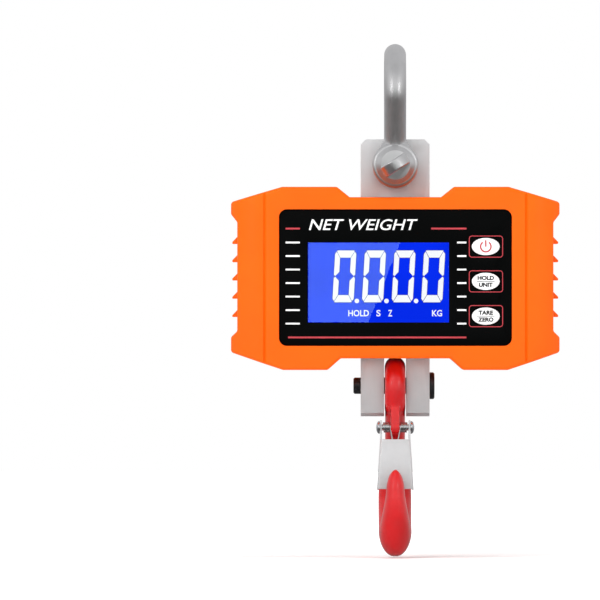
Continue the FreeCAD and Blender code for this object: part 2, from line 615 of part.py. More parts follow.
def front_shell():
    """The display side: panel recess, openings for the display and keys, posts for screws."""
    end = "split_y - gasket_t / 2"
    blank = shell_blank("front", "face_y", end, "face_y", -1, "wing_x", "wing_r")
    outside = fuse("front_outside", [blank] + side_teeth("front_tooth", "tooth_y",
                                                         f"{end} - tooth_y"))
    cavity = shell_cavity("front_cavity", "face_y + front_wall", f"{end} + 1", "face_y", -1,
                          "wing_x", "wing_r")
    hollow = cut("front_hollow", outside, [cavity])
    posts = [cylinder(f"front_post_{i}", "boss_r", f"{end} - face_y - front_wall / 2 - boss_gap",
                      (x, "face_y + front_wall / 2", z), "y")
             for i, (x, z) in enumerate(shell_screw_places())]
    foot = "face_y + front_wall / 2 + pillar_foot"
    pillars = [cylinder(f"board_pillar_{i}", "board_boss_r", f"board_y - ({foot})", (x, foot, z), "y")
               for i, (x, z) in enumerate(board_screw_places())]
    solid = fuse("front_solid", [hollow] + posts + pillars)
    floor_y = "face_y + panel_sink + panel_t"
    recess = plate("front_recess", ("0", "face_y + (panel_sink + panel_t) / 2 - 0.5",
                                    "house_z + panel_z"),
                   ("panel_w + 2 * panel_gap", "panel_sink + panel_t + 1",
                    "panel_h + 2 * panel_gap"), "panel_r + panel_gap")
    lcd = block("front_lcd_hole", ("lcd_x", "face_y + front_wall", "house_z + lcd_z"),
                ("lcd_w + 2 * lcd_over + 2 * lcd_gap", "3 * front_wall",
                 "lcd_h + 2 * lcd_over + 2 * lcd_gap"))
    keys = [oval(f"front_key_hole_{name}", "key_w / 2 + key_gap", "key_h / 2 + key_gap",
                 ("key_x", floor_y + " - 1", z), "2 * front_wall") for name, z in key_places()]
    screws = [cylinder(f"front_screw_hole_{i}", "screw_r", "pilot_l",
                       (x, f"{end} - pilot_l + 1", z), "y")
              for i, (x, z) in enumerate(shell_screw_places())]
    pilots = [cylinder(f"board_pilot_{i}", "board_screw_r", "board_pilot",
                       (x, "board_y - board_pilot + 0.5", z), "y")
              for i, (x, z) in enumerate(board_screw_places())]
    grooves = [prism(f"front_groove_{tag}", "XY", [
        (f"{side} * groove_x - groove_w / 2", "face_y - 0.1"),
        (f"{side} * groove_x + groove_w / 2", "face_y - 0.1"),
        (f"{side} * groove_x", "face_y + groove_deep"),
    ], ("0", "0", "house_z - house_h"), "2 * house_h") for side, tag in ((1, "right"), (-1, "left"))]
    tools = [recess, lcd, cell_opening("front_cell_hole", "seal_t")]
    return node(cut("front_shell", solid, tools + keys + screws + pilots + grooves), "front_shell")


def rear_shell():
    """The battery side: posts for the cell and shell screws, and the battery door's recess."""
    start = "split_y + gasket_t / 2"
    blank = shell_blank("rear", start, "back_y", "back_y", 1, "tail_x", "tail_r")
    outside = fuse("rear_outside", [blank] + side_teeth(
        "rear_tooth", start, f"tooth_end - ({start})"))
    cavity = shell_cavity("rear_cavity", f"{start} - 1", "back_y - back_wall", "back_y", 1,
                          "tail_x", "tail_r")
    hollow = cut("rear_hollow", outside, [cavity])
    posts = [cylinder(f"rear_post_{i}", "boss_r", f"back_y - back_wall / 2 - ({start})",
                      (x, start, z), "y") for i, (x, z) in enumerate(shell_screw_places())]
    seats = [cylinder(f"cell_post_{i}", "boss_r", "back_y - back_wall / 2 - cell_t / 2",
                      (x, "cell_t / 2", z), "y") for i, (x, z) in enumerate(load_cell_screw_places())]
    door_posts = [cylinder(f"door_post_{i}", "board_boss_r", "door_post",
                           (x, "back_y - back_wall / 2 - door_post", "house_z"), "y")
                  for i, x in enumerate(("door_screw_x", "-door_screw_x"))]
    solid = fuse("rear_solid", [hollow] + posts + seats + door_posts)
    recess = plate("rear_recess", ("0", "back_y - door_t / 2 + 0.5", "house_z"),
                   ("door_w + 2 * door_gap", "door_t + 1", "door_h + 2 * door_gap"),
                   "door_r + door_gap")
    name_recess = block("rear_plate_recess", ("0", "back_y", "house_z + plate_z"),
                        ("plate_w", "2 * plate_t", "plate_h"))
    bay = block("rear_bay", ("0", "back_y", "house_z"),
                ("2 * tray_x + 2 * tray_gap", "3 * back_wall", "2 * tray_z + 2 * tray_gap"))
    holes = [cylinder(f"rear_screw_hole_{i}", "screw_r + boss_gap", "2 * back_y", (x, "0", z), "y")
             for i, (x, z) in enumerate(shell_screw_places())]
    sinks = [cylinder(f"rear_sink_{i}", "screw_head_r + 0.4", "screw_sink + 5",
                      (x, "back_y - screw_sink", z), "y")
             for i, (x, z) in enumerate(shell_screw_places())]
    cell_holes = [cylinder(f"rear_cell_hole_{i}", "screw_r", "post_hole", (x, "cell_t / 2 - 1", z), "y")
                  for i, (x, z) in enumerate(load_cell_screw_places())]
    door_holes = [cylinder(f"rear_door_hole_{i}", "board_screw_r", "post_hole",
                           (x, "back_y - door_post - 1", "house_z"), "y")
                  for i, x in enumerate(("door_screw_x", "-door_screw_x"))]
    tools = [recess, name_recess, bay, cell_opening("rear_cell_hole", "seal_t")]
    return node(cut("rear_shell", solid, tools + holes + sinks + cell_holes + door_holes),
                "rear_shell")


def shell_gasket():
    """A flat cord between the two shells, broken where the load cell passes."""
    base = housing_outline("gasket_base")
    outer = slab("gasket_outer", inset_outline("gasket_out", base, "gasket_in"),
                 "split_y - gasket_t / 2", "split_y + gasket_t / 2")
    inner = slab("gasket_inner", inset_outline("gasket_in_line", base, "gasket_in + gasket_w"),
                 "split_y - gasket_t", "split_y + gasket_t")
    ring = cut("gasket_ring", outer, [inner])
    return node(cut("shell_gasket", ring, [cell_opening("gasket_gap", "seal_t")]), "shell_gasket")


def cell_seal(name, wall_z, sense):
    """A rubber sleeve round the load cell where it passes the housing's wall."""
    outer = block(name + "_outer", ("0", "0", f"({wall_z}) - ({sense}) * side_wall / 2"),
                  ("cell_w + 2 * seal_t", "cell_t + 2 * seal_t", "side_wall"))
    lip = block(name + "_lip", ("0", "0", f"({wall_z}) - ({sense}) * (side_wall + seal_lip / 2)"),
                ("cell_w + 4 * seal_t", "cell_t + 4 * seal_t", "seal_lip"))
    hole = block(name + "_hole", ("0", "0", wall_z), ("cell_w", "cell_t", "20"))
    return node(cut(name, fuse(name + "_solid", [outer, lip]), [hole]), name)


def shell_screws():
    screws = [pan_screw(f"shell_screw_{i}", (x, "back_y - screw_sink", z), "screw_r - thread_fit",
                        "screw_l", "screw_head_r", "screw_head_t", -1)
              for i, (x, z) in enumerate(shell_screw_places())]
    return node(group("shell_screws", screws), "shell_screws")


# ---- panel, display and keys -----------------------------------------------------------------

def front_panel():
    """The printed panel in the front recess, with a window opening and three key openings."""
    middle = ("0", "face_y + panel_sink + panel_t / 2", "house_z + panel_z")
    sheet = plate("panel_sheet", middle, ("panel_w", "panel_t", "panel_h"), "panel_r")
    window = block("panel_window", ("lcd_x", "face_y + panel_sink", "house_z + lcd_z"),
                   ("lcd_w", "4 * panel_t", "lcd_h"))
    keys = [oval(f"panel_key_{name}", "key_w / 2 + key_gap", "key_h / 2 + key_gap",
                 ("key_x", "face_y", z), "3 * panel_t + panel_sink") for name, z in key_places()]
    return node(cut("front_panel", sheet, [window] + keys), "front_panel")


def display_stack():
    """Window, liquid crystal glass and light guide, one behind the other."""
    layers = [
        ("display_window", "face_y + panel_sink", "panel_t", "-lcd_gap / 2"),
        ("lcd_glass", "face_y + panel_sink + panel_t", "lcd_t", "lcd_over"),
        ("lcd_backlight", "face_y + panel_sink + panel_t + lcd_t", "light_t", "lcd_over"),
    ]
    for name, start, depth, over in layers:
        item = block(name, ("lcd_x", f"{start} + ({depth}) / 2", "house_z + lcd_z"),
                     (f"lcd_w + 2 * {over}", depth, f"lcd_h + 2 * {over}"))
        node(item, name)


def lcd_frame():
    """The moulded frame that holds the display against the shell, standing on the board."""
    start, end = "face_y + front_wall", "board_y"
    outer = block("lcd_frame_outer", ("lcd_x", f"({start} + {end}) / 2", "house_z + lcd_z"),
                  ("lcd_w + 2 * lcd_over + 2 * frame_w", f"{end} - ({start})",
                   "lcd_h + 2 * lcd_over + 2 * frame_w"))
    hole = block("lcd_frame_hole", ("lcd_x", "face_y + front_wall", "house_z + lcd_z"),
                 ("lcd_w + 2 * lcd_over + 2 * lcd_gap", "60",
                  "lcd_h + 2 * lcd_over + 2 * lcd_gap"))
    return node(cut("lcd_frame", outer, [hole]), "lcd_frame")


def key_cap(name, z):
    """An oval cap with a flange that the shell keeps in, and a short stem."""
    front = "face_y + panel_sink - key_proud"
    flange_y = "face_y + front_wall + key_gap"
    cap = oval(f"{name}_cap_top", "key_w / 2", "key_h / 2", ("key_x", front, z),
               f"{flange_y} - ({front}) + 0.1")
    cap = round_edges(f"{name}_cap_round", cap, "key_round",
                      lambda edge: flat_at(edge, "Y", value(front)))
    flange = oval(f"{name}_flange", "key_w / 2 + flange_w", "key_h / 2 + flange_w",
                  ("key_x", flange_y, z), "flange_t")
    stem = cylinder(f"{name}_stem", "stem_r", "stem_l", ("key_x", f"{flange_y} + flange_t", z), "y")
    return node(fuse(f"{name}_key_cap", [cap, flange, stem]), f"{name}_key_cap")


def key_plunger(name, z):
    """The switch's plunger, half in the switch body and half out of it."""
    start = "face_y + front_wall + key_gap + flange_t + stem_l + plunger_gap"
    return node(cylinder(f"{name}_switch_plunger", "plunger_r",
                         f"board_y - switch_t + plunger_in - ({start})", ("key_x", start, z), "y"),
                f"{name}_switch_plunger")


def key_switches():
    """Three square switch bodies on the board, each bored for its plunger."""
    bodies = []
    for name, z in key_places():
        case = block(f"{name}_switch_case", ("key_x", "board_y - switch_t / 2", z),
                     ("switch_w", "switch_t", "switch_w"))
        bore = cylinder(f"{name}_switch_bore", "plunger_r + pin_fit", "plunger_deep + 1",
                        ("key_x", "board_y - switch_t - 1", z), "y")
        bodies.append(cut(f"{name}_switch_body", case, [bore]))
    return node(group("key_switches", bodies), "key_switches")


# ---- electronics and battery -----------------------------------------------------------------

def main_board():
    sheet = block("board_sheet", ("0", "board_y + board_t / 2", "house_z"),
                  ("board_w", "board_t", "board_h"))
    holes = [cylinder(f"board_hole_{i}", "board_screw_r + 0.2", "4 * board_t",
                      (x, "board_y - board_t", z), "y")
             for i, (x, z) in enumerate(board_screw_places())]
    return node(cut("main_board", sheet, holes), "main_board")


def board_screws():
    screws = [pan_screw(f"board_screw_{i}", (x, "board_y + board_t", z), "board_screw_r - thread_fit",
                        "board_screw_l", "board_head_r", "board_head_t", -1)
              for i, (x, z) in enumerate(board_screw_places())]
    return node(group("board_screws", screws), "board_screws")


def board_parts():
    """Parts on the board's back, each its own node: name, middle X, middle Z, width, depth, height."""
    back = "board_y + board_t"
    parts = [
        ("controller_chip", "58", "-10", "12", "1.6", "12"),
        ("converter_chip", "46", "12", "10", "1.6", "6"),
        ("crystal_can", "46", "24", "11", "3.6", "4.6"),
        ("power_regulator", "-36", "24", "6.6", "2.3", "6.2"),
    ]
    for name, x, z, width, depth, height in parts:
        node(block(name, (x, f"{back} + ({depth}) / 2", f"house_z + ({z})"), (width, depth, height)),
             name)
    sockets = [
        block("cell_socket", ("cable_x + 30 + 4", f"{back} + 3", "house_z"), ("8", "6", "10")),
        block("battery_socket", ("lead_x + lead_pitch / 2", f"{back} + 3", "house_z + lead_z"),
              ("8", "6", "6")),
    ]
    node(group("board_sockets", sockets), "board_sockets")
    case = cylinder("buzzer_case", "6.4", "7", ("-48", back, "house_z - 14"), "y")
    port = cylinder("buzzer_port", "1", "3", ("-48", f"{back} + 5", "house_z - 14"), "y")
    node(cut("buzzer", case, [port]), "buzzer")


def battery_rows():
    return [f"house_z + {i} * cell_gap" for i in (1, 0, -1)]


def battery_tray():
    """An open box for three cells with a floor, end walls and two ribs between the cells."""
    end = "back_y - door_t - door_seal_t"
    outer = block("tray_outer", ("0", f"(tray_y + {end}) / 2", "house_z"),
                  ("2 * tray_x", f"{end} - tray_y", "2 * tray_z"))
    inner = block("tray_inner", ("0", f"(tray_y + tray_t + {end} + 2) / 2", "house_z"),
                  ("2 * (tray_x - tray_t)", f"{end} + 2 - tray_y - tray_t", "2 * (tray_z - tray_t)"))
    open_box = cut("tray_open", outer, [inner])
    ribs = [block(f"tray_rib_{i}", ("0", "tray_y + tray_t + 1.2", f"house_z + {side} * cell_gap / 2"),
                  ("30", "2.4", "0.8")) for i, side in enumerate((1, -1))]
    holes = [cylinder(f"tray_lead_hole_{i}", "lead_r + 0.1", "6",
                      (f"lead_x + {i} * lead_pitch", "tray_y - 2", "house_z + lead_z"), "y")
             for i in (0, 1)]
    lug = block("tray_lug", ("lead_x + lead_pitch / 2", "tray_y + 1.5", "house_z + tray_z + 2.9"),
                ("9", "3", "6"))
    solid = fuse("tray_solid", [open_box, lug] + ribs)
    return node(cut("battery_tray", solid, holes), "battery_tray")


def battery_cells():
    """Three cells side by side, each a can with a raised positive button, alternating ends."""
    cells = []
    for i, z in enumerate(battery_rows()):
        sense = (-1) ** i
        end, shoulder = "cell_l / 2", "cell_l / 2 - button_l"
        points = [(f"-{end}", "0"), (f"-{end}", "cell_r - cell_edge"),
                  (f"-{end} + cell_edge", "cell_r"), (f"{shoulder} - cell_edge", "cell_r"),
                  (shoulder, "cell_r - cell_edge"), (shoulder, "button_r"), (end, "button_r"),
                  (end, "0")]
        cells.append(turned(f"battery_cell_{i}", [(f"{sense} * ({a})", r) for a, r in points],
                            ("0", "battery_y", z), "x"))
    return node(group("battery_cells", cells), "battery_cells")


def battery_contacts():
    """Coil springs at the cells' flat ends and plates at their buttons, on the tray's end walls."""
    items = []
    wall = "tray_x - tray_t"
    for i, z in enumerate(battery_rows()):
        sense = (-1) ** i
        for side in (1, -1):
            x = f"{side} * ({wall} - contact_t / 2)"
            items.append(block(f"contact_plate_{i}_{'a' if side > 0 else 'b'}", (x, "battery_y", z),
                               ("contact_t", "9", "10")))
        gap = f"{wall} - contact_t - cell_l / 2"
        if sense > 0:
            start, radii = f"-({wall} - contact_t)", ("coil_wide", "0.6 * coil_wide")
        else:
            start, radii = "cell_l / 2", ("0.6 * coil_wide", "coil_wide")
        items.append(cone(f"contact_spring_{i}", *radii, gap, (start, "battery_y", z), "x"))
    return node(group("battery_contacts", items), "battery_contacts")


def battery_leads():
    """Two leads from the tray's lug past the load cell's side to the board's socket."""
    start = "board_y + board_t + 6"
    wires = [cylinder(f"battery_lead_{i}", "lead_r", f"tray_y + 2.5 - ({start})",
                      (f"lead_x + {i} * lead_pitch", start, "house_z + lead_z"), "y")
             for i in (0, 1)]
    return node(group("battery_leads", wires), "battery_leads")


def battery_door():
    """The flush cover over the battery bay, with counterbores for its two screws."""
    sheet = plate("door_sheet", ("0", "back_y - door_t / 2", "house_z"),
                  ("door_w", "door_t", "door_h"), "door_r")
    tools = []
    for i, x in enumerate(("door_screw_x", "-door_screw_x")):
        tools.append(cylinder(f"door_hole_{i}", "board_screw_r + 0.2", "4 * door_t",
                              (x, "back_y - 2 * door_t", "house_z"), "y"))
        tools.append(cylinder(f"door_sink_{i}", "board_head_r + 0.3", "door_t",
                              (x, "back_y - board_head_t + 0.3", "house_z"), "y"))
    return node(cut("battery_door", sheet, tools), "battery_door")


def door_seal():
    """A thin rectangular ring between the door and the tray's rim."""
    outer = block("door_seal_outer", ("0", "back_y - door_t - door_seal_t / 2", "house_z"),
                  ("2 * tray_x", "door_seal_t", "2 * tray_z"))
    inner = block("door_seal_inner", ("0", "back_y - door_t", "house_z"),
                  ("2 * (tray_x - door_seal_w)", "4 * door_seal_t", "2 * (tray_z - door_seal_w)"))
    return node(cut("door_seal", outer, [inner]), "door_seal")


def door_screws():
    screws = [pan_screw(f"door_screw_{i}", (x, "back_y - board_head_t + 0.3", "house_z"),
                        "board_screw_r - thread_fit", "door_screw_l", "board_head_r",
                        "board_head_t - 0.4", -1)
              for i, x in enumerate(("door_screw_x", "-door_screw_x"))]
    return node(group("door_screws", screws), "door_screws")


def rating_plate():
    """A blank plate let into the back."""
    return node(block("rating_plate", ("0", "back_y - plate_t / 2", "house_z + plate_z"),
                      ("plate_w", "plate_t", "plate_h")), "rating_plate")


# ---- hook ------------------------------------------------------------------------------------

def smooth(low, high, x):
    """0 below low, 1 above high, and an eased step between them."""
    s = min(1.0, max(0.0, (x - low) / (high - low)))
    return s * s * (3 - 2 * s)


def hook_stations():
    """Sections down the neck, round the bowl and up the tip.

    Each is (y, z, heading, in-plane half, half width, bluntness). The bowl's inside is a circle, and a
    section's middle lies its own half thickness outside it. Bluntness is 0 for an even oval and 1
    for the bowl's section, which is narrow outside and widest three quarters of the way in.
    """
    bowl_y, bowl_z, bowl_r = value("bowl_y"), value("-bowl_drop"), value("bowl_r")
    back, sole, tip = value("back_a"), value("sole_a"), value("tip_a")
    neck_a, neck_b = value("neck_a"), value("neck_b")
    hook_b, tip_b = value("hook_b"), value("tip_b")
    top_y, top_z = value("neck_y"), value("-neck_drop")
    start = (bowl_y + bowl_r + back, bowl_z + 2.0)
    stations = []
    for share in (0.0, 0.25, 0.5, 0.75):
        z = top_z + share * (start[1] - top_z)
        y = top_y + (start[0] - top_y) * smooth(0.0, 1.15, share)
        slope = (start[0] - top_y) * 6 * (share / 1.15) * (1 - share / 1.15) / 1.15
        heading = math.atan2(slope, top_z - start[1])
        stations.append((y, z, heading, neck_a + (back - neck_a) * share,
                         neck_b + (hook_b - neck_b) * smooth(0.45, 1.0, share), 0.0))
    for degrees in range(0, 181, 18):
        angle = math.radians(degrees)
        half = back + (sole - back) * smooth(0, 90, degrees) - (sole - tip) * smooth(90, 180, degrees)
        width = hook_b
        if degrees > 90:
            width = tip_b + (hook_b - tip_b) * math.sin(angle) ** 1.15
        radius = bowl_r + half
        stations.append((bowl_y + radius * math.cos(angle), bowl_z - radius * math.sin(angle),
                         -angle, half, width, smooth(10, 60, degrees)))
    rise = value("bowl_drop - tip_top")
    for share in (0.3, 0.6, 0.8, 0.92, 0.985):
        thin = math.sqrt(1 - share ** 3) * (1 - 0.12 * math.sqrt(share))
        y = bowl_y - bowl_r - tip + 0.12 * rise * share * (1 - thin)
        stations.append((y, bowl_z + rise * share, -math.pi, tip * thin, tip_b * thin, 1.0))
    return stations


def hook_section(station):
    """A closed curve whose half width rises as a power of a sine from its outer side to its widest
    point, and closes as a quarter of an ellipse on the side towards the bowl."""
    y, z, heading, half, width, blunt = station
    outward = Vec(0, math.cos(heading), math.sin(heading))
    widest = 0.5 + 0.25 * blunt
    power = 0.86 - 0.44 * blunt
    points = []
    for i in range(24):
        turn = 2 * math.pi * i / 24
        depth = (1 - math.cos(turn)) / 2
        if depth < widest:
            share = max(math.sin(math.pi / 2 * depth / widest), 0.0) ** power
        else:
            share = math.sqrt(max(1 - ((depth - widest) / (1 - widest)) ** 2, 0.0))
        across = math.copysign(width * share, math.sin(turn))
        points.append(Vec(across, y, z) + outward * (half * math.cos(turn)))
    curve = Part.BSplineCurve()
    curve.interpolate(points, PeriodicFlag=True)
    return Part.Wire(curve.toShape())


def hook():
    """A forged eye hook: a round eye, a neck, a bowl that ends in a tip, and a rib for the rivet."""
    swept = DOC.addObject("Part::Feature", "hook_swept")
    swept.Shape = Part.makeLoft([hook_section(s) for s in hook_stations()], True, False)
    place(swept, ("0", "0", "bolt_z"))
    ring_z = "bolt_z - (ring_mid - ring_wire - bolt_d / 2 - hang_gap)"
    ring = torus("hook_ring", "ring_mid", "ring_wire", ("0", "0", ring_z), "x")
    eye = cylinder("hook_eye", "ring_mid - ring_wire", "4 * hook_b", ("-2 * hook_b", "0", ring_z), "x")
    rib = prism("hook_rib", "YZ", [
        ("-ring_mid - 3", "-8"), ("latch_y - rib_r + 0.1", "-latch_drop + 2"),
        ("latch_y - rib_r + 0.6", "-latch_drop - 2"), ("latch_y + 3", "-latch_drop - 8"),
        ("0", "-latch_drop - 4"), ("0", "-14"),
    ], ("-rib_w / 2", "0", "bolt_z"), "rib_w")
    boss = cylinder("rib_boss", "rib_r", "rib_w", ("-rib_w / 2", "latch_y", "bolt_z - latch_drop"), "x")
    rivet_hole = cylinder("rib_hole", "rivet_r + rivet_fit", "2 * latch_low_w",
                          ("-latch_low_w", "latch_y", "bolt_z - latch_drop"), "x")
    whole = fuse("hook_solid", [swept, ring, rib, boss])
    return node(cut("hook", whole, [eye, rivet_hole]), "hook")


def latch_rivet():
    """The latch's pivot: a shank with two domed heads."""
    seat = "latch_top_w / 2 + rivet_gap"
    head = f"{seat} + rivet_head_t"
    half = [(head, "0"), (f"{head} - rivet_crown", "rivet_head_r * 0.55"),
            (f"{seat} + rivet_rim", "rivet_head_r"), (seat, "rivet_head_r"), (seat, "rivet_r")]
    points = half + [(f"-({x})", radius) for x, radius in reversed(half)]
    return node(turned("latch_rivet", points, ("0", "latch_y", "bolt_z - latch_drop"), "x"),
                "latch_rivet")


def latch_side(name, inset, beyond):
    """The latch's outside; with an inset, the space inside it, which runs on beyond its open back and
    foot. It is a side profile cut to a tapering front outline."""
    front, foot = f"-latch_front + {inset}", f"-latch_len - {beyond}"
    back = f"3 * {beyond}"
    side = prism(name + "_side", "YZ", [
        (front, "latch_top"), (front, foot),
        (f"latch_low_depth - latch_front + {back}", foot),
        (f"latch_depth - latch_front + {back}", "-latch_web_top - latch_ease"),
        (f"latch_ear_r + {back}", "0"), (f"latch_ear_r - ear_slope + {back}", "latch_top"),
    ], ("-latch_low_w", "0", "0"), "2 * latch_low_w")
    face = prism(name + "_face", "XZ", mirrored([
        (f"latch_top_w / 2 - {inset}", "2 * latch_top"),
        (f"latch_top_w / 2 - {inset}", "-latch_web_top"), (f"latch_low_w / 2 - {inset}", foot),
    ]), ("0", "-latch_low_w", "0"), "2 * latch_low_w")
    return common(name, [side, face])


def latch_plate():
    """A pressed channel: a web in front, two cheeks that run up to ears on the rivet."""
    outer = latch_side("latch_outer", "0", "0")
    inner = latch_side("latch_inner", "latch_t", "2")
    mouth = box("latch_mouth", ("-latch_low_w", "-latch_front - 10", "-latch_web_top"),
                ("2 * latch_low_w", "10 + latch_front - ear_front", "20"))
    hole = cylinder("latch_hole", "rivet_r + rivet_fit", "2 * latch_low_w",
                    ("-latch_low_w", "0", "0"), "x")
    channel = cut("latch_channel", outer, [inner, mouth, hole])
    leaned = group("latch_leaned", [channel])
    place(leaned, ("0", "latch_y", "bolt_z - latch_drop"),
          FreeCAD.Rotation(Vec(1, 0, 0), -value("latch_lean")))
    return node(leaned, "latch_plate")


def latch_spring():
    """A double torsion spring: a coil each side of the rib, with a leg down the web from each."""
    items = []
    first, last = "(rib_w / 2 + coil_clear)", "(latch_top_w / 2 - latch_t - coil_clear)"
    pitch = f"({last} - {first}) / coil_turns"
    for side, tag, start in ((1, "right", first), (-1, "left", f"-({last})")):
        rings = [torus(f"coil_{tag}_{i}", "coil_r", "coil_wire",
                       (f"{side} * ({first} + ({i} + 0.5) * {pitch})", "0", "0"), "x")
                 for i in range(int(value("coil_turns")))]
        bar = cylinder(f"coil_bar_{tag}", "coil_wire", f"{last} - {first}", (start, "0", "coil_r"), "x")
        leg = cylinder(f"coil_leg_{tag}", "coil_wire", "leg_l",
                       (f"{side} * (rib_w / 2 + 2.6)", "-coil_r", "-leg_l"))
        items.append(fuse(f"spring_{tag}", rings + [bar, leg]))
    spring = group("latch_spring", items)
    place(spring, ("0", "latch_y", "bolt_z - latch_drop"),
          FreeCAD.Rotation(Vec(1, 0, 0), -value("latch_lean")))
    return node(spring, "latch_spring")


# ---- the whole -------------------------------------------------------------------------------

def build():
    fill_sheet()
    shackle_bow()
    shackle_pin()
    load_cell()
    strain_gauges()
    gauge_potting()
    load_cell_screws()
    load_cell_cable()
    clevis_bolt()
    front_shell()
    rear_shell()
    shell_gasket()
    cell_seal("upper_seal", "house_z + house_h / 2 - notch_drop", 1)
    cell_seal("lower_seal", "house_z - house_h / 2 + foot_drop", -1)
    shell_screws()
    front_panel()
    display_stack()
    lcd_frame()
    for name, z in key_places():
        key_cap(name, z)
        key_plunger(name, z)
    key_switches()
    main_board()
    board_screws()
    board_parts()
    battery_tray()
    battery_cells()
    battery_contacts()
    battery_leads()
    battery_door()
    door_seal()
    door_screws()
    rating_plate()
    hook()
    latch_rivet()
    latch_plate()
    latch_spring()
    DOC.recompute()


def check_and_write():
    """Stops on a failed feature or a bad shape, then writes each sub-part."""
    failed = [item.Label for item in DOC.Objects
              if any(word in item.State for word in ("Invalid", "Error"))]
    if failed:
        raise SystemExit("failed features: " + ", ".join(failed))
    for name, item in NODES.items():
        shape = item.Shape
        if shape.isNull() or not shape.isValid() or not shape.Solids:
            raise SystemExit("bad shape: " + name)
    os.makedirs("parts", exist_ok=True)
    for name, item in NODES.items():
        item.Shape.exportStep(f"parts/{name}.step")
        print(f"{name:24s} solids {len(item.Shape.Solids):2d}  volume {item.Shape.Volume:10.1f}")


build()
check_and_write()
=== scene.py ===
import json
import math
from contextlib import contextmanager

import bmesh
import bpy
import numpy as np
from bpy.props import FloatProperty, FloatVectorProperty, PointerProperty, StringProperty
from mathutils import Euler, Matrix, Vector


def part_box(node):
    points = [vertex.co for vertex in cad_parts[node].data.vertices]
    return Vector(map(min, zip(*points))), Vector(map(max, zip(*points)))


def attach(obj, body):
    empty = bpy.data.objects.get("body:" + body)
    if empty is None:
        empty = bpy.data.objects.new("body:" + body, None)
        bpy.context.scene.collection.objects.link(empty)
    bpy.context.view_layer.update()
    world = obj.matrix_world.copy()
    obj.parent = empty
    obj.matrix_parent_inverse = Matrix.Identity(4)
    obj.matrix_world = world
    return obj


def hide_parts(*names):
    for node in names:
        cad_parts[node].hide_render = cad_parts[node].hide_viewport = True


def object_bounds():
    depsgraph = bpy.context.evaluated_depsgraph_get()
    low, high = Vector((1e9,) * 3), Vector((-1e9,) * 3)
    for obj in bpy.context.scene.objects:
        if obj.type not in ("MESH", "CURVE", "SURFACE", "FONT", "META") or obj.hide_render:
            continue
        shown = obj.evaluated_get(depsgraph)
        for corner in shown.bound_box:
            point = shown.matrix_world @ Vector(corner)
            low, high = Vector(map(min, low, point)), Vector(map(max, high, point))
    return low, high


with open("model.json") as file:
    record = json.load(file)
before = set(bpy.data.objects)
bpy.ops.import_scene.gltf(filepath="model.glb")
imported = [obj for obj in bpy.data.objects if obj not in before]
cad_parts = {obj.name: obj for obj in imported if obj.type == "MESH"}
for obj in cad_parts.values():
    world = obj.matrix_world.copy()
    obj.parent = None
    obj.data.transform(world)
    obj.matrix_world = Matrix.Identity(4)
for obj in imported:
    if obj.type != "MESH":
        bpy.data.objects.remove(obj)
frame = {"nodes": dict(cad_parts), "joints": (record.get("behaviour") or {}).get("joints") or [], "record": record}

bl_info = {
    "name": "Crane scale",
    "version": (1, 0, 0),
    "blender": (4, 5, 0),
    "location": "View3D > Sidebar > Crane scale",
    "description": "Finishes a hanging crane scale: shackle, hook, moulded housing and lit display",
    "category": "Object",
}

MM = 0.001
NODES = frame["nodes"]
JOINTS = {joint["name"]: joint for joint in frame["joints"]}
MOUNTS = {mount["name"]: mount for mount in frame["record"]["mounts"]}
CAD_BOX = [list(corner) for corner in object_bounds()]


# ---- the frame in millimetres ----------------------------------------------------------------

def box_mm(node):
    """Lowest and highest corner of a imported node, in millimetres."""
    low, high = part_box(node)
    return np.array(low) / MM, np.array(high) / MM


def middle_mm(node):
    low, high = box_mm(node)
    return (low + high) / 2


def joint_mm(name):
    """A hinge's point, in millimetres."""
    return np.array(JOINTS[name]["pos_m"]) / MM


def mount_mm(name):
    return np.array(MOUNTS[name]["pos_m"]) / MM


# ---- colours and materials -------------------------------------------------------------------

def linear(code):
    """An sRGB hex colour as linear red, green, blue and alpha."""
    parts = [int(code[i:i + 2], 16) / 255 for i in (1, 3, 5)]
    return tuple(p / 12.92 if p <= 0.04045 else ((p + 0.055) / 1.055) ** 2.4 for p in parts) + (1.0,)


def toned(colour, share):
    """A colour whose red, green and blue are scaled alike."""
    return tuple(c * share for c in colour[:3]) + (1.0,)


def add(tree, kind, links=None, **settings):
    """Adds a shader node. Settings are named like its properties or inputs, links like its inputs."""
    made = tree.nodes.new(kind)
    for key, value in settings.items():
        if key in made.bl_rna.properties:
            setattr(made, key, value)
        else:
            made.inputs[key.replace("_", " ")].default_value = value
    for key, socket in (links or {}).items():
        target = made.inputs[key] if isinstance(key, int) else made.inputs[key.replace("_", " ")]
        tree.links.new(socket, target)
    return made


def start_material(name):
    """A new node material with nothing in it but its Object coordinates."""
    made = bpy.data.materials.new(name)
    made.use_nodes = True
    made.node_tree.nodes.clear()
    place = add(made.node_tree, "ShaderNodeTexCoord")
    return made, made.node_tree, place.outputs["Object"]


def finish_material(made, tree, links, **settings):
    """Adds the material's one surface shader, joined to its output."""
    shader = add(tree, "ShaderNodeBsdfPrincipled", links, **settings)
    add(tree, "ShaderNodeOutputMaterial", {"Surface": shader.outputs[0]})
    return made


def stretched(tree, place, scale):
    """Object coordinates scaled by axis."""
    return add(tree, "ShaderNodeMapping", {"Vector": place}, Scale=scale).outputs["Vector"]


def noise(tree, place, size_mm, detail, roughness=0.5):
    """Noise whose grains are about size_mm across."""
    made = add(tree, "ShaderNodeTexNoise", {"Vector": place}, Scale=1000 / size_mm, Detail=detail,
               Roughness=roughness)
    return made.outputs["Fac"]


def between(tree, factor, low, high, start=0.35, end=0.65):
    """A number that runs from low to high as the factor runs from start to end."""
    made = add(tree, "ShaderNodeMapRange", {"Value": factor})
    for key, value in (("From Min", start), ("From Max", end), ("To Min", low), ("To Max", high)):
        made.inputs[key].default_value = value
    return made.outputs["Result"]


